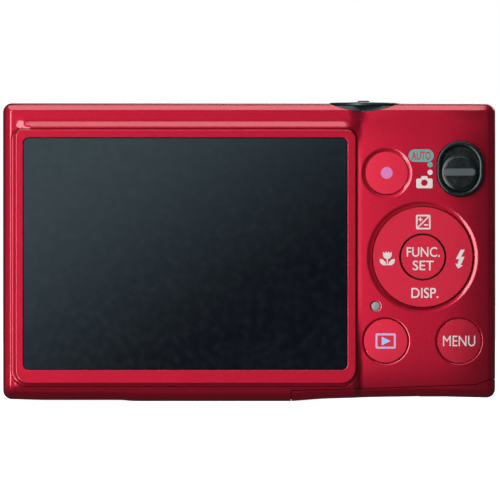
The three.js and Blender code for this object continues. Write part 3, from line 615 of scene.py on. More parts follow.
def walled(faces, offset):
    """The faces, the same turned round on vertices offset further on, and a wall along every free edge."""
    once = dict.fromkeys(edge for face in faces for edge in zip(face, face[1:] + face[:1]))
    rims = [(a, b) for a, b in once if (b, a) not in once]
    inner = [tuple(i + offset for i in reversed(face)) for face in faces]
    return faces + inner + [(b, a, a + offset, b + offset) for a, b in rims]


# ---------- materials ----------
class Surface:
    """A Principled material and the few nodes that its colour, roughness and bump are made with."""

    def __init__(self, name, **fixed):
        self.material = bpy.data.materials.new(name)
        self.material.use_nodes = True
        self.tree = self.material.node_tree
        self.shader = self.tree.nodes["Principled BSDF"]
        for key, value in fixed.items():
            self.shader.inputs[key.replace("_", " ")].default_value = value
        self.place = self.node("ShaderNodeTexCoord").outputs["Object"]
        self.normal = None

    def node(self, kind, inputs=(), **settings):
        made = self.tree.nodes.new(kind)
        for key, value in settings.items():
            setattr(made, key, value)
        for key, value in dict(inputs).items():
            if isinstance(value, bpy.types.NodeSocket):
                self.tree.links.new(value, made.inputs[key])
            else:
                made.inputs[key].default_value = value
        return made

    def link(self, output, socket):
        self.tree.links.new(output, self.shader.inputs[socket])

    def noise(self, size_mm, detail=2.0, stretch=(1, 1, 1)):
        """Noise from 0 to 1 with features about size_mm across."""
        place = self.node("ShaderNodeMapping", {"Vector": self.place, "Scale": stretch}).outputs["Vector"]
        return self.node("ShaderNodeTexNoise", {"Vector": place, "Scale": 1000.0 / size_mm,
            "Detail": detail}).outputs["Fac"]

    def cells(self, size_mm):
        """A random value from 0 to 1 for each cell about size_mm across."""
        made = self.node("ShaderNodeTexVoronoi", {"Vector": self.place, "Scale": 1000.0 / size_mm})
        return self.node("ShaderNodeSeparateColor", {"Color": made.outputs["Color"]}).outputs["Red"]

    def ramp(self, value, low, high, start=0.0, end=1.0):
        return self.node("ShaderNodeMapRange", {"Value": value, "From Min": start, "From Max": end,
            "To Min": low, "To Max": high}).outputs["Result"]

    def mix(self, share, first, second):
        made = self.node("ShaderNodeMix", data_type="RGBA")
        for socket, value in ((made.inputs[0], share), (made.inputs[6], first), (made.inputs[7], second)):
            if isinstance(value, bpy.types.NodeSocket):
                self.tree.links.new(value, socket)
            else:
                socket.default_value = (*value, 1.0) if isinstance(value, tuple) else value
        return made.outputs[2]

    def colour(self, output):
        self.link(output, "Base Color")
        return self

    def roughness(self, output):
        self.link(output, "Roughness")
        return self

    def mottle(self, first, second, size_mm, detail=4.0, start=0.35):
        """Colour that drifts between two tones in patches about size_mm across."""
        share = self.ramp(self.noise(size_mm, detail), 0.0, 1.0, start, 0.7)
        return self.colour(self.mix(share, first, second))

    def gloss(self, low, high, size_mm, detail=4.0):
        """Roughness that drifts between two values in patches about size_mm across."""
        return self.roughness(self.ramp(self.noise(size_mm, detail), low, high, 0.3, 0.7))

    def bump(self, height, depth_mm):
        inputs = {"Height": height, "Distance": depth_mm * MM}
        if self.normal is not None:
            inputs["Normal"] = self.normal
        self.normal = self.node("ShaderNodeBump", inputs).outputs["Normal"]
        self.link(self.normal, "Normal")
        return self

    def turned_lines(self, axis, centre, pitch_mm, depth_mm):
        """Fine rings left by turning, about an axis through a centre given in millimetres."""
        shifted = self.node("ShaderNodeMapping", {"Vector": self.place,
            "Location": [-c * MM for c in centre]}).outputs["Vector"]
        rings = self.node("ShaderNodeTexWave", {"Vector": shifted, "Scale": 1000.0 / pitch_mm / 20,
            "Distortion": 0.4, "Detail": 1.0}, wave_type="RINGS", rings_direction=axis)
        return self.bump(rings.outputs["Fac"], depth_mm)


def painted_metal(name, bright, deep, metallic, roughness):
    """Red metallic paint: fine flakes in two reds, slow shifts of tone and a glossy clear coat."""
    s = Surface(name, Metallic=metallic, Coat_Weight=0.8, Coat_Roughness=0.12, Specular_IOR_Level=0.0,
        Coat_IOR=COAT_IOR)
    flakes = s.mix(s.ramp(s.cells(FLAKE_MM), 0.0, 1.0, 0.1, 0.95), deep, bright)
    s.colour(s.mix(s.ramp(s.noise(14, 3.0), 0.0, 0.25, 0.3, 0.75), flakes, deep))
    s.gloss(roughness - 0.03, roughness + 0.03, 1.1)
    s.bump(s.cells(FLAKE_MM), 0.0006).bump(s.noise(2.6, 2.0), 0.002)
    return s.material


def moulded(name, light, dark, roughness, grain_mm=0.16, depth_mm=0.006, **fixed):
    """Moulded plastic with a fine spark-eroded grain and faint flow marks."""
    s = Surface(name, **fixed).mottle(dark, light, 5.5, start=0.32).gloss(roughness - 0.06, roughness + 0.06,
        0.8)
    return s.bump(s.noise(grain_mm, 3.0), depth_mm).material


def bare_metal(name, light, dark, roughness, stretch=(1, 1, 14), scratch_mm=0.5):
    """Rolled or plated metal with fine lines along one direction and slight tarnish."""
    s = Surface(name, Metallic=1.0).mottle(light, dark, 3.5)
    lines = s.noise(scratch_mm, 2.0, stretch)
    s.roughness(s.ramp(lines, roughness - 0.08, roughness + 0.08, 0.3, 0.7))
    return s.bump(lines, 0.002).material


def spun_metal(name, light, dark, roughness, axis, centre, pitch_mm=0.14, depth_mm=0.0015):
    """Turned metal with rings round its axis."""
    s = Surface(name, Metallic=1.0).mottle(light, dark, 2.5).gloss(roughness - 0.05, roughness + 0.05, 0.7,
        3.0)
    return s.turned_lines(axis, centre, pitch_mm, depth_mm).material


def screen_glass():
    """The dark cover over the panel: a faint blue-grey painted reflection in its colour at the top left,
    fading to black away from it.
    """
    s = Surface("screen_glass", IOR=1.5, Coat_Weight=0.3, Coat_Roughness=0.05)
    # painted reflection: the base colour runs from near black to blue-grey towards the window's top left,
    # standing in for a light's glare; the real gloss on top stays faint
    across = s.node("ShaderNodeSeparateXYZ", {"Vector": s.place})
    left = s.ramp(across.outputs["X"], 1.0, 0.0, WINDOW_LOW[0] * MM, WINDOW_HIGH[0] * MM)
    high = s.ramp(across.outputs["Z"], 0.0, 1.0, WINDOW_LOW[2] * MM, WINDOW_HIGH[2] * MM)
    corner = s.node("ShaderNodeMath", {0: left, 1: high}, operation="ADD").outputs[0]
    reflection_share = s.node("ShaderNodeMapRange", {"Value": corner, "From Min": 0.45, "From Max": 2.0, "To Min": 0.0,
        "To Max": 1.0}, interpolation_type="SMOOTHSTEP").outputs["Result"]
    tone = s.mix(reflection_share, (0.0006, 0.0018, 0.005), (0.035, 0.051, 0.059))
    s.colour(s.mix(s.ramp(s.noise(9, 2.0), 0.0, 0.04, 0.3, 0.7), tone, (0.02, 0.03, 0.036)))
    return s.gloss(0.1, 0.17, 1.6).bump(s.noise(12, 1.0), 0.002).material


def clear_plastic(name, tint, roughness):
    s = Surface(name, Transmission_Weight=0.9, IOR=1.49).mottle(tint, tuple(0.94 * t for t in tint), 3, 2.0,
        0.3)
    return s.gloss(roughness, roughness + 0.06, 0.8, 3.0).material


def coated_lens():
    """Optical glass with a violet and green coating that shows at its edge."""
    s = Surface("coated_lens", Transmission_Weight=0.55, IOR=1.6, Coat_Weight=0.6, Coat_Roughness=0.02)
    facing = s.node("ShaderNodeLayerWeight", {"Blend": 0.35}).outputs["Facing"]
    s.colour(s.mix(facing, (0.012, 0.01, 0.03), (0.05, 0.16, 0.09)))
    return s.gloss(0.02, 0.05, 1.2, 2.0).material


def circuit_board():
    """Green lacquer over copper tracks that run square to each other."""
    s = Surface("circuit_board", Coat_Weight=0.4, Coat_Roughness=0.2)
    turned_place = s.node("ShaderNodeMapping", {"Vector": s.place, "Rotation": (math.pi / 2, 0, 0)})
    tracks = s.node("ShaderNodeTexBrick", {"Vector": turned_place.outputs["Vector"], "Scale": 900.0,
        "Mortar Size": 0.06}).outputs["Fac"]
    s.colour(s.mix(tracks, (0.008, 0.075, 0.035), (0.05, 0.16, 0.07)))
    return s.gloss(0.32, 0.48, 1.0, 3.0).bump(tracks, 0.02).material


def ink(name, light, dark):
    """Printed marking: thin ink with slightly uneven cover."""
    s = Surface(name).mottle(light, dark, 0.25, 2.0).gloss(0.45, 0.6, 0.5, 2.0)
    return s.bump(s.noise(0.1, 2.0), 0.002).material


COAT_IOR = 1.6
FLAKE_MM = 0.11
BRIGHT_RED = (0.45, 0.0085, 0.032)
DEEP_RED = (0.35, 0.0065, 0.024)
RED, FRAME_RED, DOOR_RED = (painted_metal(name, BRIGHT_RED, DEEP_RED, 0.75, 0.42) for name in ("body_red",
    "bezel_red", "door_red"))
KEY_RED = painted_metal("key_red", (0.58, 0.022, 0.052), (0.5, 0.018, 0.043), 0.7, 0.44)
FLAP_RED = moulded("flap_red", (0.34, 0.012, 0.032), (0.24, 0.008, 0.022), 0.55)
GLASS = screen_glass()
PANEL = moulded("lcd", (0.012, 0.014, 0.018), (0.004, 0.005, 0.007), 0.25)
SHEET_STEEL = bare_metal("steel_sheet", (0.56, 0.57, 0.58), (0.42, 0.43, 0.45), 0.36)
STEEL = bare_metal("steel_parts", (0.62, 0.62, 0.63), (0.45, 0.45, 0.46), 0.28, (1, 1, 6), 0.3)
BOARD = circuit_board()
BLACK = moulded("black_plastic", (0.022, 0.023, 0.025), (0.009, 0.009, 0.01), 0.5)
BRASS = bare_metal("brass_parts", (0.62, 0.45, 0.2), (0.48, 0.33, 0.13), 0.3)
BARREL = spun_metal("barrel_metal", (0.075, 0.078, 0.082), (0.045, 0.047, 0.05), 0.34, "Y",
    (LENS_X, 0, LENS_Z))
RING = spun_metal("ring_aluminium", (0.72, 0.72, 0.73), (0.56, 0.56, 0.58), 0.26, "Y", (LENS_X, 0, LENS_Z),
    0.2, 0.003)
POWER_METAL = bare_metal("power_aluminium", (0.7, 0.7, 0.71), (0.55, 0.55, 0.57), 0.3, (1, 8, 1))
CLEAR = clear_plastic("clear_parts", (0.93, 0.95, 0.96), 0.06)
LENS = coated_lens()
LEVER = moulded("lever_dark", (0.022, 0.036, 0.039), (0.012, 0.02, 0.023), 0.38, 0.2, 0.003, Metallic=0.35)
SWITCH_BLACK = moulded("switch_black", (0.006, 0.0105, 0.012), (0.003, 0.0055, 0.0065), 0.25, 0.2, 0.0004,
    Specular_IOR_Level=0.35)
# painted highlight: a lighter copy of the switch's black, standing in for the light that the raised rib
# catches
SWITCH_RIB_LIT_BLACK = moulded("switch_rib_lit_black", (0.05, 0.066, 0.07), (0.04, 0.053, 0.057), 0.4, 0.2, 0.0006)
CARRIER_RED = moulded("carrier_rubber", (0.16, 0.003, 0.01), (0.11, 0.002, 0.007), 0.7)
LAMP_GREY = moulded("lamp_grey", (0.26, 0.31, 0.31), (0.2, 0.24, 0.245), 0.4, 0.2, 0.002)
BATTERY_GREY = moulded("battery_grey", (0.12, 0.13, 0.14), (0.07, 0.075, 0.08), 0.6)
LATCH_ORANGE = moulded("latch_orange", (0.62, 0.2, 0.035), (0.45, 0.13, 0.02), 0.45)
CARD_BLUE = moulded("card_blue", (0.03, 0.075, 0.2), (0.015, 0.04, 0.12), 0.5)
WHITE_INK = ink("white_ink", (0.62, 0.62, 0.61), (0.54, 0.54, 0.53))
MAUVE_INK = ink("mauve_ink", (0.6, 0.17, 0.45), (0.52, 0.14, 0.38))
TEAL_INK = ink("teal_ink", (0.075, 0.36, 0.33), (0.055, 0.29, 0.26))
LILAC_INK = ink("lilac_ink", (0.5, 0.42, 0.66), (0.4, 0.34, 0.55))
SKY_INK = ink("sky_ink", (0.34, 0.52, 0.86), (0.28, 0.44, 0.74))


# ---------- covers and battery door ----------
def joint(name):
    return next(one for one in frame["joints"] if one["name"] == name)


HINGE_Y, HINGE_Z = (value / MM for value in joint("door_swing")["pos_m"][1:])
DOOR_LOW, DOOR_HIGH = box_mm("battery_door")
DOOR_LEFT, DOOR_TOP = DOOR_LOW[0], DOOR_HIGH[2]
FIT = 0.12
LEVER_AXIS = (LEVER_X, LEVER_Y)
DRUM_HIGH, LEVER_RADIUS = round_box("top_key_base")[1:]
DRUM_TOP = DRUM_HIGH[2]
LEVER_FLOOR = DRUM_TOP + 0.03
NECK_RADIUS = 4.9
SCOOP_RADIUS = 15.25
SCOOP_Z = 70.1
FAR = 90.0
UNDER_TOP = 50.0
INSIDE_END = -43.0
NECK_LOW = 53.2
SHUTTER_BORE = 4.4


def door_outline(grow):
    left, top = DOOR_LEFT - grow, DOOR_TOP + grow
    return [(left, -2), (HALF_WIDTH + 1, -2), (HALF_WIDTH + 1, top), (45.4, top), (43.0, top - 0.9),
        (20.5, top - 1.7), (left, top - 2.0)]


def door_hole():
    return prism("door_hole", door_outline(FIT), -FAR, HINGE_Y + 1.3)


def scoop(name, radius):
    """The hollow in the rear edge that the dark drum shows in: an arc as seen from behind the camera."""
    return rod(name, radius, "y", (LEVER_X, SCOOP_Z), -FAR, LEVER_Y, count=360)


def lever_well():
    well = rod("lever_well", LEVER_RADIUS + FIT, "z", LEVER_AXIS, LEVER_FLOOR, FAR, count=128)
    shaft = rod("shaft", NECK_RADIUS + FIT, "z", LEVER_AXIS, UNDER_TOP, FAR, count=96)
    return combine(well, "UNION", shaft, scoop("scoop", SCOOP_RADIUS))


def slab(name, rect, radius, axis, levels, material=None, steps=(6, 6)):
    """A flat piece with rounded corners: levels are [inset, height] pairs along the axis."""
    rows = []
    for inset, height in levels:
        loop = rounded_points(grown(rect, -inset), [max(radius - inset, 0.02)] * 4, steps)
        rows.append(along(axis, loop, height))
    return mesh_object(name, *bridged(rows), material)


def rounded_levels(low, high, edge):
    """Levels of a slab whose far edge is rounded by edge."""
    turn = 1 if high > low else -1
    angles = [math.radians(30 * k) for k in range(4)]
    return [(0, low)] + [(edge * (1 - math.cos(a)), high - turn * edge * (1 - math.sin(a))) for a in angles]


FLAP_LOW, FLAP_HIGH = box_mm("terminal_cover")
STRAP_LOW, STRAP_HIGH = box_mm("strap_bar")
TRIPOD_LOW, TRIPOD_HIGH = box_mm("tripod_socket")
TRIPOD = middle("tripod_socket")
POWER_HIGH, POWER_RADIUS = round_box("power_button")[1:]
POWER_RADIUS -= 0.7
POWER = middle("power_button")[:2]
SPEAKER = middle("speaker")
SCREWS = {"case_screw_1": ("z", 0), "case_screw_2": ("z", 0), "case_screw_3": ("x", 0),
    "case_screw_4": ("x", 1)}
SCREW_RADIUS = 1.2


def screw_hole(node):
    axis, side = SCREWS[node]
    low, high = box_mm(node)
    centre = (low + high) / 2
    across = (centre[0], centre[1]) if axis == "z" else (centre[1], centre[2])
    face = (low, high)[side][2 if axis == "z" else 0]
    span = (face - 3, face + 0.5) if side == 0 else (face - 0.5, face + 3)
    return rod("screw_hole", SCREW_RADIUS + 0.08, axis, across, *span, count=40)


def front_holes():
    holes = [rod("power_hole", POWER_RADIUS + 0.12, "z", POWER, UNDER_TOP, FAR)]
    for x, y in ((dx, dy) for dx in (-2.4, 0, 2.4) for dy in (0.4, 2.4)):
        holes.append(rod("speaker_hole", 0.4, "z", (SPEAKER[0] + x, SPEAKER[1] + y), UNDER_TOP, FAR,
            count=24))
    flap = (FLAP_LOW[1] - FIT, FLAP_HIGH[1] + 0.4, FLAP_LOW[2] - FIT, FLAP_HIGH[2] + FIT)
    strap = grown((STRAP_LOW[1], STRAP_HIGH[1], STRAP_LOW[2], STRAP_HIGH[2]), 0.1)
    for name, rect, radius in (("flap_hole", flap, 0.9), ("strap_hole", strap, 1.4)):
        holes.append(slab(name, rect, radius, "x", [(0, -FAR), (0, INSIDE_END)]))
    holes.append(rod("tripod_hole", TRIPOD_HIGH[0] - TRIPOD[0] + 0.08, "z", TRIPOD[:2], -5, 4, count=96))
    return merged("front_holes", holes + [screw_hole(node) for node in SCREWS])


def merged(name, objects):
    """Several separate solids as one mesh."""
    bm = bmesh.new()
    for obj in objects:
        bm.from_mesh(obj.data)
        bpy.data.objects.remove(obj)
    mesh = bpy.data.meshes.new(name)
    bm.to_mesh(mesh)
    bm.free()
    return added(name, mesh)


rear, front, plain = rear_skin(), front_skin(), plain_skin()
shell = closed_shell("shell", rear, front, True, RED)
solid = closed_shell("solid", plain, plain, False, LEVER)

for name, cuts, (low, high) in (("rear_cover", (), (SEAM_Y - 0.05, FAR)),
        ("front_cover", (front_holes(),), (-FAR, SEAM_Y + 0.05))):
    other_half = brick("other_half", (-FAR, low, -FAR), (FAR, high, FAR))
    cover = combine(copied(shell, name + "_skin"), "DIFFERENCE", door_hole(), lever_well(), *cuts,
        other_half)
    place(cover, "body", name, slot="body_red")

DOOR_STEP = {"y": HINGE_Y - 1.5, "z": HINGE_Z - 1.22}
PIN = box_mm("door_hinge_pin")
EARS = ((19, 21), (30, 32))


def battery_door():
    door = copied(shell, "battery_door_panel")
    door.data.materials.clear()
    door.data.materials.append(DOOR_RED)
    combine(door, "INTERSECT", prism("door_share", door_outline(0), -FAR, HINGE_Y))
    combine(door, "DIFFERENCE", brick("step", (-FAR, DOOR_STEP["y"], -FAR), (FAR, FAR, DOOR_STEP["z"])))
    rail = brick("rail", (DOOR_LEFT + 0.05, DOOR_STEP["y"] - 0.3, DOOR_STEP["z"]),
        (PIN[1][0] + 0.6, HINGE_Y, 1.6))
    combine(rail, "INTERSECT", solid, keep=(solid,))
    bead = rod("bead", 1.05, "x", (HINGE_Y, HINGE_Z), DOOR_LEFT + 0.2, PIN[1][0] + 0.6, count=48)
    combine(door, "UNION", rail, bead)
    slots = [brick("slot", (low - 2.8, DOOR_STEP["y"] + 0.2, -FAR), (high + 0.3, FAR,
        HINGE_Z + 2)) for low, high in EARS]
    combine(door, "DIFFERENCE", rod("pin_hole", 0.5, "x", (HINGE_Y, HINGE_Z), -FAR, FAR, count=24),
        merged("slots", slots))
    return door


place(battery_door(), "door", "battery_door", slot="door_red")


# ---------- screen ----------
WINDOW_RECT = (WINDOW_LOW[0], WINDOW_HIGH[0], WINDOW_LOW[2], WINDOW_HIGH[2])
OPENING_RECT = grown(WINDOW_RECT, 0.08)
BEZEL_FACE = BEZEL_LOW[1]


def screen_bezel():
    """A frame with a wide bevel at the left and bottom and narrow ones at the right and top."""
    x0, x1, z0, z1 = BEZEL_RECT
    face_rect = (x0 + 0.8, x1 - 0.14, z0 + 0.52, z1 - 0.14)
    face_radii = (2.4, 2.7, 1.7, 1.15)

    def outer(by):
        return grown_loop(BEZEL_RECT, BEZEL_RADII, by, (40, 28), 12)

    def face(by):
        return grown_loop(face_rect, face_radii, by, (40, 28), 12)

    def opening(by):
        return grown_loop(OPENING_RECT, [1.1] * 4, by, (40, 28), 12)

    f = BEZEL_FACE
    sections = [(outer(-0.06), f + 0.95), (outer(0), f + 0.56), (outer(-0.05), f + 0.25),
        (face(0.1), f + 0.07), (face(0.04), f + 0.02), (face(-0.04), f), (face(-0.08), f),
        (opening(0.14), f), (opening(0.1), f), (opening(0.03), f + 0.04), (opening(0), f + 0.18),
        (opening(0), f + 0.78)]
    return lofted("screen_frame", sections, FRAME_RED, closed=True, sharp=50)


place(screen_bezel(), "body", "screen_bezel", slot="bezel_red")
window_face = WINDOW_LOW[1]
window = slab("screen_glass", WINDOW_RECT, 1.02, "y", [(0, WINDOW_HIGH[1]), (0, window_face + 0.03),
    (0.03, window_face), (0.06, window_face), (0.12, window_face)], GLASS, (40, 28))
place(window, "body", "screen_window", slot="screen_glass")


# ---------- keys ----------
FLANGE_FRONT, FLANGE_BACK = -7.9, -6.8


def raised(by):
    """The key zone's surface raised towards the user by some millimetres."""
    return lambda x, z: key_zone(x, z) - by


def round_loops(key, count, pairs):
    """Circles about a key's centre, each with its own Y."""
    return [(circle(*key[:2], radius, count), y) for radius, y in pairs]


def round_key(name, key):
    radius = key[2]
    tops = [(part * radius, 0) for part in (0.3, 0.6, 0.82)]
    tops += stepped(radius, 0, (-0.3, 0), (-0.14, 0), (-0.04, 0), (0, 0.03), (0, 0.1))
    base = [(radius, FLANGE_FRONT), (radius + FLANGE, FLANGE_FRONT), (radius + FLANGE, FLANGE_BACK)]
    faces = [(r, raised(KEY_PROUD - drop)) for r, drop in tops]
    return lofted(name, round_loops(key, 96, faces + base), KEY_RED)


KEY_PROUD = 0.08
for name, key in (("movie", MOVIE), ("playback", PLAYBACK), ("menu", MENU)):
    place(round_key(name + "_key", key), name, name + "_button", slot="key_red")

PAD_PROUD = 0.5
PAD_TILT = 0.25
PAD_BACK = -7.4


def pad_face(drop=0.0):
    """The pad's face follows the key zone, but less steeply."""
    return lambda x, z: REAR_FACE - PAD_PROUD + PAD_TILT * (key_zone(x, z) - REAR_FACE) + drop


def pad_ring():
    outer, inner = PAD[2], SET[2] + 0.33
    rings = stepped(inner, 0, (0, 0.4), (0, 0.04), (0.04, 0), (0.2, 0), (0.7, 0), (2.4, 0))
    rings += stepped(outer, 0, (-0.9, 0), (-0.3, 0), (-0.05, 0), (0, 0.04), (0, 0.3))
    back = [(outer - 0.12, PAD_BACK - 0.6), (outer - 0.12, PAD_BACK), (inner, PAD_BACK)]
    sections = round_loops(PAD, 160, [(r, pad_face(drop)) for r, drop in rings] + back)
    return lofted("pad_ring", sections, KEY_RED, closed=True)


def set_key():
    radius = SET[2]
    tops = [(part * radius, 0) for part in (0.3, 0.7)]
    tops += stepped(radius, 0, (-0.3, 0), (-0.14, 0), (-0.04, 0), (0, 0.04), (0, 0.2))
    faces = [(r, pad_face(drop - 0.02)) for r, drop in tops]
    return lofted("set_key", round_loops(SET, 112, faces + [(radius, FLANGE_BACK)]), KEY_RED)


place(pad_ring(), "pad", "dpad_ring", slot="key_red")
place(set_key(), "set", "set_button", slot="key_red")

lamp_y = float(key_zone(*LAMP[:2]))
lamp = turned("indicator_lamp", [(0, lamp_y - 0.05), (0.5 * LAMP[2], lamp_y - 0.04),
    (LAMP[2], lamp_y + 0.06), (LAMP[2], -8.1), (LAMP[2] + 0.48, -8.1), (LAMP[2] + 0.48, -7.6), (0, -7.6)],
    "y", LAMP[:2], LAMP_GREY, 0.06, count=48)
place(lamp, "body", "indicator_lens", slot="lamp_grey")


# ---------- mode switch ----------
RIM = 0.9
KNOB_LOW, _, KNOB_RADIUS = round_box("mode_switch_knob")
KNOB = middle("mode_switch_knob")


def switch_bezel():
    top, floor = SWITCH_LOW[1], SWITCH_LOW[1] + 1.05
    levels = [(0, SWITCH_HIGH[1]), (0, top + 0.3), (-0.04, top + 0.16), (-0.14, top + 0.05), (-0.3, top),
        (-RIM + 0.3, top), (-RIM + 0.12, top + 0.06), (-RIM, top + 0.25), (-RIM - 0.05, floor - 0.1),
        (-RIM - 0.15, floor)]
    sections = [(stadium_loop(by, 20), y) for by, y in levels]
    return lofted("mode_switch_frame", sections, SWITCH_BLACK)


def switch_knob():
    face, back = KNOB_LOW[1] + 0.45, KNOB_LOW[1] + 1.05
    disc = turned("mode_switch_slider", [(0, face), (KNOB_RADIUS - 0.55, face),
        (KNOB_RADIUS - 0.42, face + 0.08), (KNOB_RADIUS, face + 0.16), (KNOB_RADIUS, back), (0, back)], "y",
        (KNOB[0], KNOB[2]), SWITCH_BLACK, 0.1, count=112)
    rib = (KNOB[0] - KNOB_RADIUS + 0.35, KNOB[0] + KNOB_RADIUS - 0.35, KNOB[2] - 0.74, KNOB[2] + 0.74)
    grip = slab("rib", rib, 0.7, "y", rounded_levels(face + 0.3, KNOB_LOW[1], 0.2), SWITCH_BLACK)
    # the rib takes the lighter copy of the black: a painted highlight
    for part in (disc, grip):
        part.data.materials.append(SWITCH_RIB_LIT_BLACK)
    for polygon in grip.data.polygons:
        polygon.material_index = 1
    return combine(disc, "UNION", grip)


place(switch_bezel(), "body", "mode_switch_bezel", slot="switch_black")
place(switch_knob(), "mode_knob", "mode_switch_knob", slot="switch_black")


# ---------- top controls ----------
def zoom_lever():
    low, high, radius = round_box("zoom_ring")
    top = 56.55
    ring = turned("zoom_lever_ring", [(4.3, low[2]), (radius, low[2]), (radius, top - 0.12),
        (radius - 0.35, top), (4.6, top), (4.3, top - 0.12)], "z", LEVER_AXIS, LEVER, 0.08, True, 128)
    rows = []
    for inset, y in ((0.25, LEVER_Y + 4.6), (0.0, LEVER_Y + 4.8), (0.0, high[1] - 0.25), (0.2, high[1])):
        half_low, half_top = 1.42 - inset, 0.95 - inset
        half = [(half_low, low[2] + 0.1), (half_low - 0.12, top - 0.05),
            (half_top + 0.12, high[2] - 0.08 - inset), (half_top - 0.1, high[2] - inset * 0.6)]
        corners = half + [(-a, b) for a, b in half[::-1]]
        rows.append(np.array([(LEVER_X + a, y, b) for a, b in corners]))
    return combine(ring, "UNION", mesh_object("tab", *bridged(rows), LEVER))


def key_base():
    drum = scoop("top_key_drum", SCOOP_RADIUS - 0.04)
    drum.data.materials.append(LEVER)
    share = brick("share", (LEVER_X - LEVER_RADIUS, -FAR, UNDER_TOP),
        (LEVER_X + LEVER_RADIUS, FAR, DRUM_TOP))
    combine(drum, "INTERSECT", solid, share, keep=(solid,))
    combine(drum, "UNION", rod("neck", NECK_RADIUS, "z", LEVER_AXIS, NECK_LOW, DRUM_TOP, LEVER, 160))
    return combine(drum, "DIFFERENCE", rod("bore", SHUTTER_BORE, "z", LEVER_AXIS, -FAR, FAR, count=160))


place(key_base(), "body", "top_key_base", slot="lever_dark")
place(zoom_lever(), "zoom_lever", "zoom_ring", slot="lever_dark")
shutter_profile = [(0, 51.85), (1.2, 51.85), (1.2, 54.4), (3.9, 54.4)]
shutter_profile += stepped(0, box_mm("shutter_button")[1][2], (3.9, -0.4), (3.6, -0.2), (2.8, -0.08),
    (1.4, -0.02), (0, 0))
shutter = turned("shutter_key", shutter_profile, "z", LEVER_AXIS, LEVER, 0.1, count=96)
place(shutter, "shutter", "shutter_button", slot="lever_dark")
power_profile = [(0, 51.45), (1.0, 51.45), (1.0, 54.0), (3.3, 54.0), (3.3, 54.7), (POWER_RADIUS, 54.7)]
power_profile += stepped(POWER_RADIUS, POWER_HIGH[2], (0, -0.1), (-0.25, 0), (-0.7, 0), (-0.95, -0.12),
    (-POWER_RADIUS, -0.16))
power = turned("power_key", power_profile, "z", POWER, POWER_METAL, 0.06, count=80)
place(power, "power", "power_button", slot="ring_aluminium")


# ---------- lens ----------
LENS_AXIS = (LENS_X, LENS_Z)


def lens_ring():
    outer, face = RING_RADIUS, RING_HIGH[1]
    profile = [(16.75, RING_LOW[1]), (outer, RING_LOW[1])]
    profile += stepped(outer, face, (0, -1.15), (-0.25, -0.8), (-0.9, -0.25), (-1.3, -0.2), (-1.35, -0.32),
        (-1.5, -0.32), (-1.55, -0.1), (-2.1, 0))
    profile += [(17.8, face), (17.3, face - 0.12), (16.95, face - 0.5), (16.75, face - 0.9)]
    return turned("lens_trim_ring", profile, "y", LENS_AXIS, RING, 0.06, True, 192)


def outer_barrel():
    low, high, radius = round_box("outer_barrel")
    profile = [(15.3, low[1]), (radius, low[1])]
    profile += stepped(radius, high[1], (0, -0.9), (-0.08, -0.82), (-0.08, -0.6), (0, -0.52), (0, -0.12),
        (-0.15, 0))
    profile += [(15.45, high[1]), (15.3, high[1] - 0.12)]
    return turned("barrel_outer", profile, "y", LENS_AXIS, BARREL, 0.04, True, 160)


def inner_barrel():
    low, high, radius = round_box("inner_barrel")
    profile = [(14.0, low[1]), (radius, low[1]), (radius, high[1] - 0.15), (radius - 0.15, high[1]),
        (14.15, high[1]), (14.0, high[1] - 0.12), (14.0, 7.5), (7.2, 7.5), (7.0, 7.3), (7.0, 6.4),
        (14.0, 6.4)]
    barrel = turned("barrel_inner", profile, "y", LENS_AXIS, BARREL, 0.04, True, 160)
    for name in ("blade_upper_open", "blade_lower_open"):
        pin_x = joint(name)["pos_m"][0] / MM
        combine(barrel, "UNION", turned("pin", [(0, 7.2), (0.6, 7.2), (0.6, 8.35), (0, 8.4)], "y",
            (pin_x, LENS_Z), BARREL, 0.06, count=32))
    return barrel


def barrier_ring():
    low, high, outer = round_box("barrier_ring")
    profile = [(5.6, low[1]), (outer, low[1])]
    profile += stepped(outer, high[1], (0, -0.25), (-0.3, 0), (-2.0, 0), (-2.1, -0.1), (-2.25, -0.1),
        (-2.35, 0))
    profile += [(7.4, high[1] - 0.04), (6.2, high[1] - 0.3), (5.6, low[1] + 0.2)]
    return turned("barrier_cap", profile, "y", LENS_AXIS, BARREL, 0.05, True, 160)


def front_element():
    low, high, radius = round_box("front_lens")
    crown = [(r, high[1] - r * r / 60) for r in np.linspace(radius, 0, 12)]
    return turned("front_element", [(0, low[1]), (radius - 0.9, low[1]), (radius, low[1] + 0.8)] + crown,
        "y", LENS_AXIS, LENS, 0, count=128)


for made, body, node, slot in ((lens_ring, "body", "lens_ring", "ring_aluminium"),
        (outer_barrel, "lens_outer", "outer_barrel", "barrel_metal"),
        (inner_barrel, "lens_inner", "inner_barrel", "barrel_metal"),
        (barrier_ring, "lens_inner", "barrier_ring", "barrel_metal"),
        (front_element, "lens_inner", "front_lens", "clear_parts")):
    place(made(), body, node, slot=slot)


# ---------- flash window and focus lamp ----------
def flash_cover():
    def loop(inset):
        return grown_loop(FLASH_RECT, FLASH_RADII, -inset, (16, 10), 10)

    def face(drop):
        return lambda x, z: front_base(x, z) - drop

    sections = [(loop(0.3), FLASH_LOW[1]), (loop(0), FLASH_LOW[1] + 0.05), (loop(0), face(0.2)),
        (loop(0.04), face(0.1)), (loop(0.16), face(0.05))]
    return lofted("flash_cover", sections, CLEAR)


place(flash_cover(), "body", "flash_window", slot="clear_parts")
af_face, af_radius = float(front_base(*AF_PLACE[:2])), AF_PLACE[2]
af_profile = [(0, 6.6), (af_radius, 6.6)]
af_profile += stepped(0, af_face, (af_radius, -0.14), (af_radius - 0.3, -0.04), (af_radius - 0.5, -0.12),
    (0.8, -0.3), (0, -0.34))
af_lamp = turned("focus_lamp", af_profile, "y", AF_PLACE[:2], CLEAR, 0.06, count=64)
place(af_lamp, "body", "af_lamp_window", slot="clear_parts")


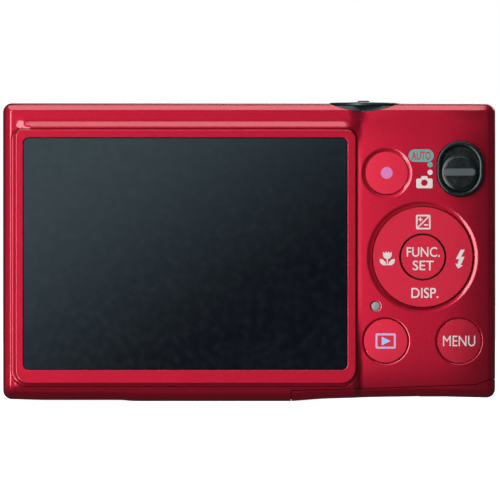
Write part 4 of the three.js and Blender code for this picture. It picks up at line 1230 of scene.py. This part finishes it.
# ---------- underside and ends ----------
def tripod_nut():
    """A steel bush with the turns of its thread cut in its bore."""
    outer, top = TRIPOD_HIGH[0] - TRIPOD[0], TRIPOD_HIGH[2]
    base = TRIPOD_LOW[2]
    bore, pitch = 3.0, 1.27
    threads = []
    for turn in range(4):
        start = base + 0.35 + turn * pitch
        threads += [(bore, start), (bore, start + 0.2), (bore + 0.38, start + 0.55),
            (bore + 0.38, start + 0.75)]
    profile = [(0, top), (outer - 0.8, top), (outer - 0.8, top - 0.8), (outer, top - 1.6),
        (outer, base + 0.12), (outer - 0.12, base), (bore + 0.4, base)] + threads + [(bore, top - 0.7),
        (0, top - 0.7)]
    return turned("tripod_bush", profile, "z", TRIPOD[:2], STEEL, 0.03, count=96)


def strap_eye():
    (x0, y0, z0), (x1, y1, z1) = STRAP_LOW, STRAP_HIGH
    bar_x, bar_y = x0 + 0.6, 0.9
    bar = turned("strap_eye", [(0, z0 + 0.02), (0.58, z0 + 0.02), (0.58, z1 - 0.02), (0, z1 - 0.02)], "z",
        (bar_x, bar_y), STEEL, 0.1, count=48)
    back = slab("back", (y0, y1, z0, z1), 1.2, "x", [(0, x1), (0, x1 - 0.3), (0.12, x1 - 0.42),
        (0.4, x1 - 0.45)], STEEL)
    ends = [brick("end", (bar_x, 0.35, z), (x1 - 0.1, 1.45, z + 0.55)) for z in (z0, z1 - 0.55)]
    return combine(bar, "UNION", back, *ends)


def flap():
    (x0, y0, z0), (x1, y1, z1) = FLAP_LOW, FLAP_HIGH
    hinge_y = joint("flap_open")["pos_m"][1] / MM
    panel = slab("terminal_flap", (y0, hinge_y, z0, z1), 0.8, "x", rounded_levels(x0 + 0.8, x0, 0.16),
        FLAP_RED, (4, 16))
    bead = turned("bead", [(0, z0), (0.4, z0), (0.4, z1), (0, z1)], "z", (x0 + 0.45, hinge_y), FLAP_RED, 0.1,
        count=40)
    lip = brick("lip", (x0 + 0.3, y0 + 0.3, z0 + 1), (x1 - 0.02, y0 + 1.0, z1 - 1))
    notch = slab("notch", (y0 - 1.2, y0 + 0.45, (z0 + z1) / 2 - 2.2, (z0 + z1) / 2 + 2.2), 0.4, "x",
        [(0, x0 - 1), (0, x0 + 0.25)])
    combine(panel, "UNION", bead, lip)
    return combine(panel, "DIFFERENCE", notch)


def screw(node):
    """A countersunk screw with a cross recess, made upright and then laid in its hole."""
    axis, side = SCREWS[node]
    low, high = box_mm(node)
    centre = (low + high) / 2
    length = (high - low)[2 if axis == "z" else 0]
    r = SCREW_RADIUS
    body = turned(node + "_head", [(0, 0), (r - 0.12, 0), (r, -0.1), (r, -0.38), (0.62, -0.8),
        (0.62, -length), (0, -length)], "z", (0, 0), STEEL, 0.03, count=64)
    arms = [brick("arm", (-a, -b, -0.42), (a, b, 1)) for a, b in ((0.75, 0.14), (0.14, 0.75))]
    combine(body, "DIFFERENCE", combine(arms[0], "UNION", arms[1]))
    face = (low, high)[side]
    for vertex in body.data.vertices:
        u, v, h = (c / MM for c in vertex.co)
        c, s = math.cos(0.6 + centre[0]), math.sin(0.6 + centre[0])
        u, v = u * c - v * s, u * s + v * c
        if axis == "z":
            point = (centre[0] + u, centre[1] - v, face[2] - h)
        else:
            out = -1 if side == 0 else 1
            point = (face[0] + out * h, centre[1] + u, centre[2] + out * v)
        vertex.co = [value * MM for value in point]
    tidy_mesh(body)
    return body


place(tripod_nut(), "body", "tripod_socket", slot="steel_parts")
place(strap_eye(), "body", "strap_bar", slot="steel_parts")
place(flap(), "flap", "terminal_cover", slot="flap_red")
for node in SCREWS:
    place(screw(node), "body", node, slot="steel_parts")
for spare in (shell, solid):
    bpy.data.objects.remove(spare)


# ---------- markings ----------
INK_THICK = 0.02


def draped(name, verts, faces, surface, material, body, lift=0.0):
    """A thin printed patch: verts are X, Z pairs laid on a surface, given a little thickness."""
    flat = np.array(verts, float)
    y = surface(flat[:, 0], flat[:, 1]) - lift
    points = [(x, d + side * INK_THICK, z) for side in (1, -1) for (x, z), d in zip(flat, y)]
    made = mesh_object(name, points, walled([face[::-1] for face in faces], len(flat)), material)
    made.data.shade_flat()
    return place(made, body)


def patch(name, loops, surface, material, body, lift=0.0):
    """Filled outlines, each a loop of X, Z points."""
    verts, faces = [], []
    for loop in loops:
        start = len(verts)
        verts += [tuple(p) for p in loop]
        faces.append(tuple(range(start, start + len(loop))))
    return draped(name, verts, faces, surface, material, body, lift)


def band(name, outer, inner, *printed):
    """The strip between two loops with the same number of points."""
    n = len(outer)
    faces = [(k, (k + 1) % n, n + (k + 1) % n, n + k) for k in range(n)]
    return draped(name, np.vstack([outer, inner]), faces, *printed)


def frame_mark(name, at, half, width, radii, *printed):
    """A rectangular outline of a width, with rounded corners outside and inside."""
    rect = (at[0] - half[0], at[0] + half[0], at[1] - half[1], at[1] + half[1])
    loops = [rounded_points(grown(rect, -by), [r] * 4, (2, 2), 4) for by, r in zip((0, width), radii)]
    return band(name, *loops, *printed)


def centred(points, at):
    return [(at[0] + a, at[1] + b) for a, b in points]


def label(name, text, at, width, height, surface, material, body, lift=0.0, bold=0.008):
    """Plain lettering scaled to a width and height in millimetres and centred on a place."""
    curve = bpy.data.curves.new(name, "FONT")
    curve.body = text
    curve.resolution_u = 4
    curve.offset = bold
    source = added(name + "_source", curve)
    mesh = evaluated_mesh(source)
    flat = np.array([tuple(v.co)[:2] for v in mesh.vertices])
    low, high = flat.min(axis=0), flat.max(axis=0)
    flat = (flat - (low + high) / 2) / (high - low) * (width, height) + at
    mesh.calc_loop_triangles()
    faces = [tuple(triangle.vertices) for triangle in mesh.loop_triangles]
    bpy.data.objects.remove(source)
    bpy.data.curves.remove(curve)
    bpy.data.meshes.remove(mesh)
    return draped(name, flat, faces, surface, material, body, lift)


def bar(x0, z0, x1, z1, width):
    """A straight stroke as a loop."""
    along = np.array([x1 - x0, z1 - z0])
    side = np.array([-along[1], along[0]]) / np.hypot(*along) * width / 2
    a, b = np.array([x0, z0]), np.array([x1, z1])
    return [tuple(a - side), tuple(b - side), tuple(b + side), tuple(a + side)]


key_top = raised(KEY_PROUD + 0.01)
pad_top = pad_face(-0.01)
set_top = pad_face(-0.03)
zone_top = raised(0.01)
ON_PAD = (pad_top, WHITE_INK, "pad")
ON_SET = (set_top, WHITE_INK, "set")
RED_INK = ink("red_ink", (0.42, 0.016, 0.04), (0.36, 0.012, 0.034))

patch("movie_dot", [circle(MOVIE[0], MOVIE[1], 1.12, 40)], key_top, MAUVE_INK, "movie")
label("menu_text", "MENU", MENU[:2], 6.1, 2.0, key_top, WHITE_INK, "menu", bold=0.0)
frame_mark("playback_frame", PLAYBACK, (1.92, 1.45), 0.38, (0.3, 0.08), key_top, LILAC_INK, "playback")
patch("playback_arrow", [centred([(-0.75, -0.82), (0.95, 0), (-0.75, 0.82)], PLAYBACK[:2])], key_top,
    SKY_INK, "playback")
label("set_text_upper", "FUNC.", (SET[0] + 0.1, SET[1] + 0.95), 6.25, 1.85, *ON_SET)
label("set_text_lower", "SET", (SET[0] + 0.1, SET[1] - 1.6), 4.0, 1.85, *ON_SET)
label("pad_text", "DISP.", (PAD[0] + 0.4, PAD[1] - 6.8), 5.1, 1.95, *ON_PAD)


def exposure_mark():
    at = (PAD[0] + 0.1, PAD[1] + 6.6)
    frame_mark("exposure_frame", at, (1.38, 1.38), 0.3, (0.25, 0.06), *ON_PAD)
    strokes = [bar(-1.1, -1.1, 1.1, 1.1, 0.26), bar(-0.95, 0.5, -0.15, 0.5, 0.24),
        bar(-0.55, 0.1, -0.55, 0.9, 0.24), bar(0.15, -0.55, 0.95, -0.55, 0.24)]
    for number, stroke in enumerate(strokes):
        patch(f"exposure_stroke_{number}", [centred(stroke, at)], *ON_PAD, 0.001 * number)


def flower_mark():
    """The usual sign for close-ups: a tulip with two leaves."""
    at = (PAD[0] - 6.7, PAD[1] - 0.2)
    cup = [(-0.82, 1.2), (-0.82, 0.4), (-0.5, -0.05), (0, -0.25), (0.5, -0.05), (0.82, 0.4), (0.82, 1.2),
        (0.45, 0.88), (0.25, 1.3), (0, 0.92), (-0.25, 1.3), (-0.45, 0.88)]
    leaf = [(-1.45, -0.15), (-1.35, -0.9), (-0.85, -1.35), (-0.12, -1.38), (-0.32, -0.75), (-0.85, -0.25)]
    patch("flower_cup", [centred(cup, at)], *ON_PAD)
    patch("flower_stem", [centred(bar(0, -1.35, 0, -0.1, 0.2), at)], *ON_PAD, 0.004)
    patch("flower_leaves", [centred(leaf, at), centred([(-a, b) for a, b in leaf[::-1]], at)], *ON_PAD,
        0.002)


def bolt_mark():
    at = (PAD[0] + 7.0, PAD[1] - 0.4)
    outline = [(0.2, 1.78), (-0.75, 0.0), (-0.15, 0.0), (-0.42, -0.95), (-0.85, -0.82), (-0.3, -1.78),
        (0.62, -1.2), (0.2, -1.1), (0.9, 0.45), (0.25, 0.45), (0.95, 1.78)]
    patch("flash_bolt", [centred(outline, at)], *ON_PAD)


def mode_marks():
    pill = (SWITCH[0] - 7.4, SWITCH[2] + 2.52)
    rect = (pill[0] - 2.37, pill[0] + 2.37, pill[1] - 1.18, pill[1] + 1.18)
    patch("auto_pill", [rounded_points(rect, [1.17] * 4, (2, 2), 12)], zone_top, TEAL_INK, "body")
    label("auto_text", "AUTO", pill, 3.67, 1.64, zone_top, RED_INK, "body", 0.008, bold=0.03)
    patch("auto_dot", [circle(SWITCH[0] - 5.7, SWITCH[2] + 0.8, 0.5, 24)], zone_top, TEAL_INK, "body")
    patch("still_dot", [circle(SWITCH[0] - 5.7, SWITCH[2] - 0.65, 0.5, 24)], zone_top, WHITE_INK, "body")
    at = (SWITCH[0] - 6.78, SWITCH[2] - 2.6)
    case = (at[0] - 1.55, at[0] + 1.55, at[1] - 1.05, at[1] + 0.78)
    outer = rounded_points(case, [0.3] * 4, (6, 4), 4)
    away = outer - at
    inner = at + away / np.hypot(away[:, 0], away[:, 1])[:, None] * 0.62
    band("still_case", outer, inner, zone_top, WHITE_INK, "body")
    patch("still_hump", [centred([(-0.75, 0.75), (0.75, 0.75), (0.5, 1.25), (-0.5, 1.25)], at)], zone_top,
        WHITE_INK, "body", 0.002)


exposure_mark()
flower_mark()
bolt_mark()
mode_marks()


# ---------- inner parts: the CAD nodes that stay ----------
NODE_MATERIALS = {
    SHEET_STEEL: "chassis_frame lcd_backplate card_slot usb_connector hdmi_connector microphone "
    "flash_reflector",
    STEEL: "door_hinge_pin zoom_motor",
    BOARD: "main_board key_board top_board sensor_board",
    PANEL: "lcd_panel image_sensor",
    BLACK: "lens_housing cam_ring flash_capacitor speaker battery_holder",
    BARREL: "barrier_blade_upper barrier_blade_lower",
    BRASS: "drive_gear battery_contacts",
    CLEAR: "flash_tube", CARRIER_RED: "dpad_carrier", BATTERY_GREY: "battery", LATCH_ORANGE: "battery_latch",
    CARD_BLUE: "memory_card",
}
for material, names in NODE_MATERIALS.items():
    for name in names.split():
        slots = frame["nodes"][name].data.materials
        slots.clear()
        slots.append(material)


# ---------- floor, light and camera ----------
def card(name, azimuth, elevation, away_m, size, radiance):
    """A soft light in a direction from the object: azimuth to the camera's left, elevation upwards."""
    a, e = math.radians(azimuth), math.radians(elevation)
    toward = Vector((-math.cos(e) * math.sin(a), -math.cos(e) * math.cos(a), math.sin(e)))
    data = bpy.data.lights.new(name, "AREA")
    data.shape = "RECTANGLE"
    data.size, data.size_y = size
    data.energy = radiance * size[0] * size[1] * math.pi
    light = added(name, data)
    light.location = Vector((0, 0, 0.028)) + away_m * toward
    light.rotation_mode = "QUATERNION"
    light.rotation_quaternion = (-toward).to_track_quat("-Z", "Y")
    light.visible_camera = False


card("left_panel", 23, 0, 1.3, (0.56, 1.26), 7.6)
card("overhead", 5, 56, 1.1, (1.3, 0.5), 3.3)
card("far_card", 205, 28, 1.4, (1.2, 0.9), 2.4)

world = bpy.data.worlds.new("studio")
bpy.context.scene.world = world
world.use_nodes = True
tree = world.node_tree
backdrop, surround = tree.nodes["Background"], tree.nodes.new("ShaderNodeBackground")
backdrop.inputs["Color"].default_value = (1, 1, 1, 1)
surround.inputs["Color"].default_value = (0.9, 0.95, 1.0, 1)
surround.inputs["Strength"].default_value = 0.06
path = tree.nodes.new("ShaderNodeLightPath")
choose = tree.nodes.new("ShaderNodeMixShader")
tree.links.new(path.outputs["Is Camera Ray"], choose.inputs["Fac"])
tree.links.new(surround.outputs["Background"], choose.inputs[1])
tree.links.new(backdrop.outputs["Background"], choose.inputs[2])
tree.links.new(choose.outputs["Shader"], tree.nodes["World Output"].inputs["Surface"])

pale = Surface("pale_floor", Specular_IOR_Level=0.1, Emission_Strength=1.0)
pale.colour(pale.mix(pale.noise(30, 2.0), (0.9, 0.9, 0.9), (0.86, 0.86, 0.86)))
pale.roughness(pale.ramp(pale.noise(8, 2.0), 0.8, 0.9))
# painted shadow: the floor glows dimmer within a few centimetres of the object and fully white further out,
# standing in for the object's contact shadow
reach = pale.node("ShaderNodeVectorMath", {0: pale.place}, operation="LENGTH").outputs["Value"]
glow_with_painted_shadow = pale.mix(pale.ramp(reach, 0.0, 1.0, 0.06, 0.3), (0.86, 0.86, 0.86), (1.0, 1.0, 1.0))
pale.link(glow_with_painted_shadow, "Emission Color")
FLOOR_REACH, FLOOR_Z = 4000, -0.05
corners = [(a * FLOOR_REACH, b * FLOOR_REACH, FLOOR_Z) for a, b in ((-1, -1), (1, -1), (1, 1), (-1, 1))]
floor = mesh_object("floor", corners, [(0, 1, 2, 3)], pale.material)
floor.visible_glossy = floor.visible_diffuse = floor.visible_shadow = False
floor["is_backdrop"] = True

FRAME_WIDTH = 94.64
SIGHT = ((REAR_LOW[0] + REAR_HIGH[0]) / 2 + 0.14, 28.62)
camera_data = bpy.data.cameras.new("camera")
camera_data.lens = 900
camera_data.sensor_width = 36
camera_data.clip_start, camera_data.clip_end = 0.02, 40
camera = added("camera", camera_data)
distance = FRAME_WIDTH * camera_data.lens / camera_data.sensor_width
camera.location = (SIGHT[0] * MM, (-7.2 - distance) * MM, SIGHT[1] * MM)
camera.rotation_euler = (math.pi / 2, 0, 0)
bpy.context.scene.camera = camera
bpy.context.scene.view_settings.view_transform = "Standard"

low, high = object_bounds()
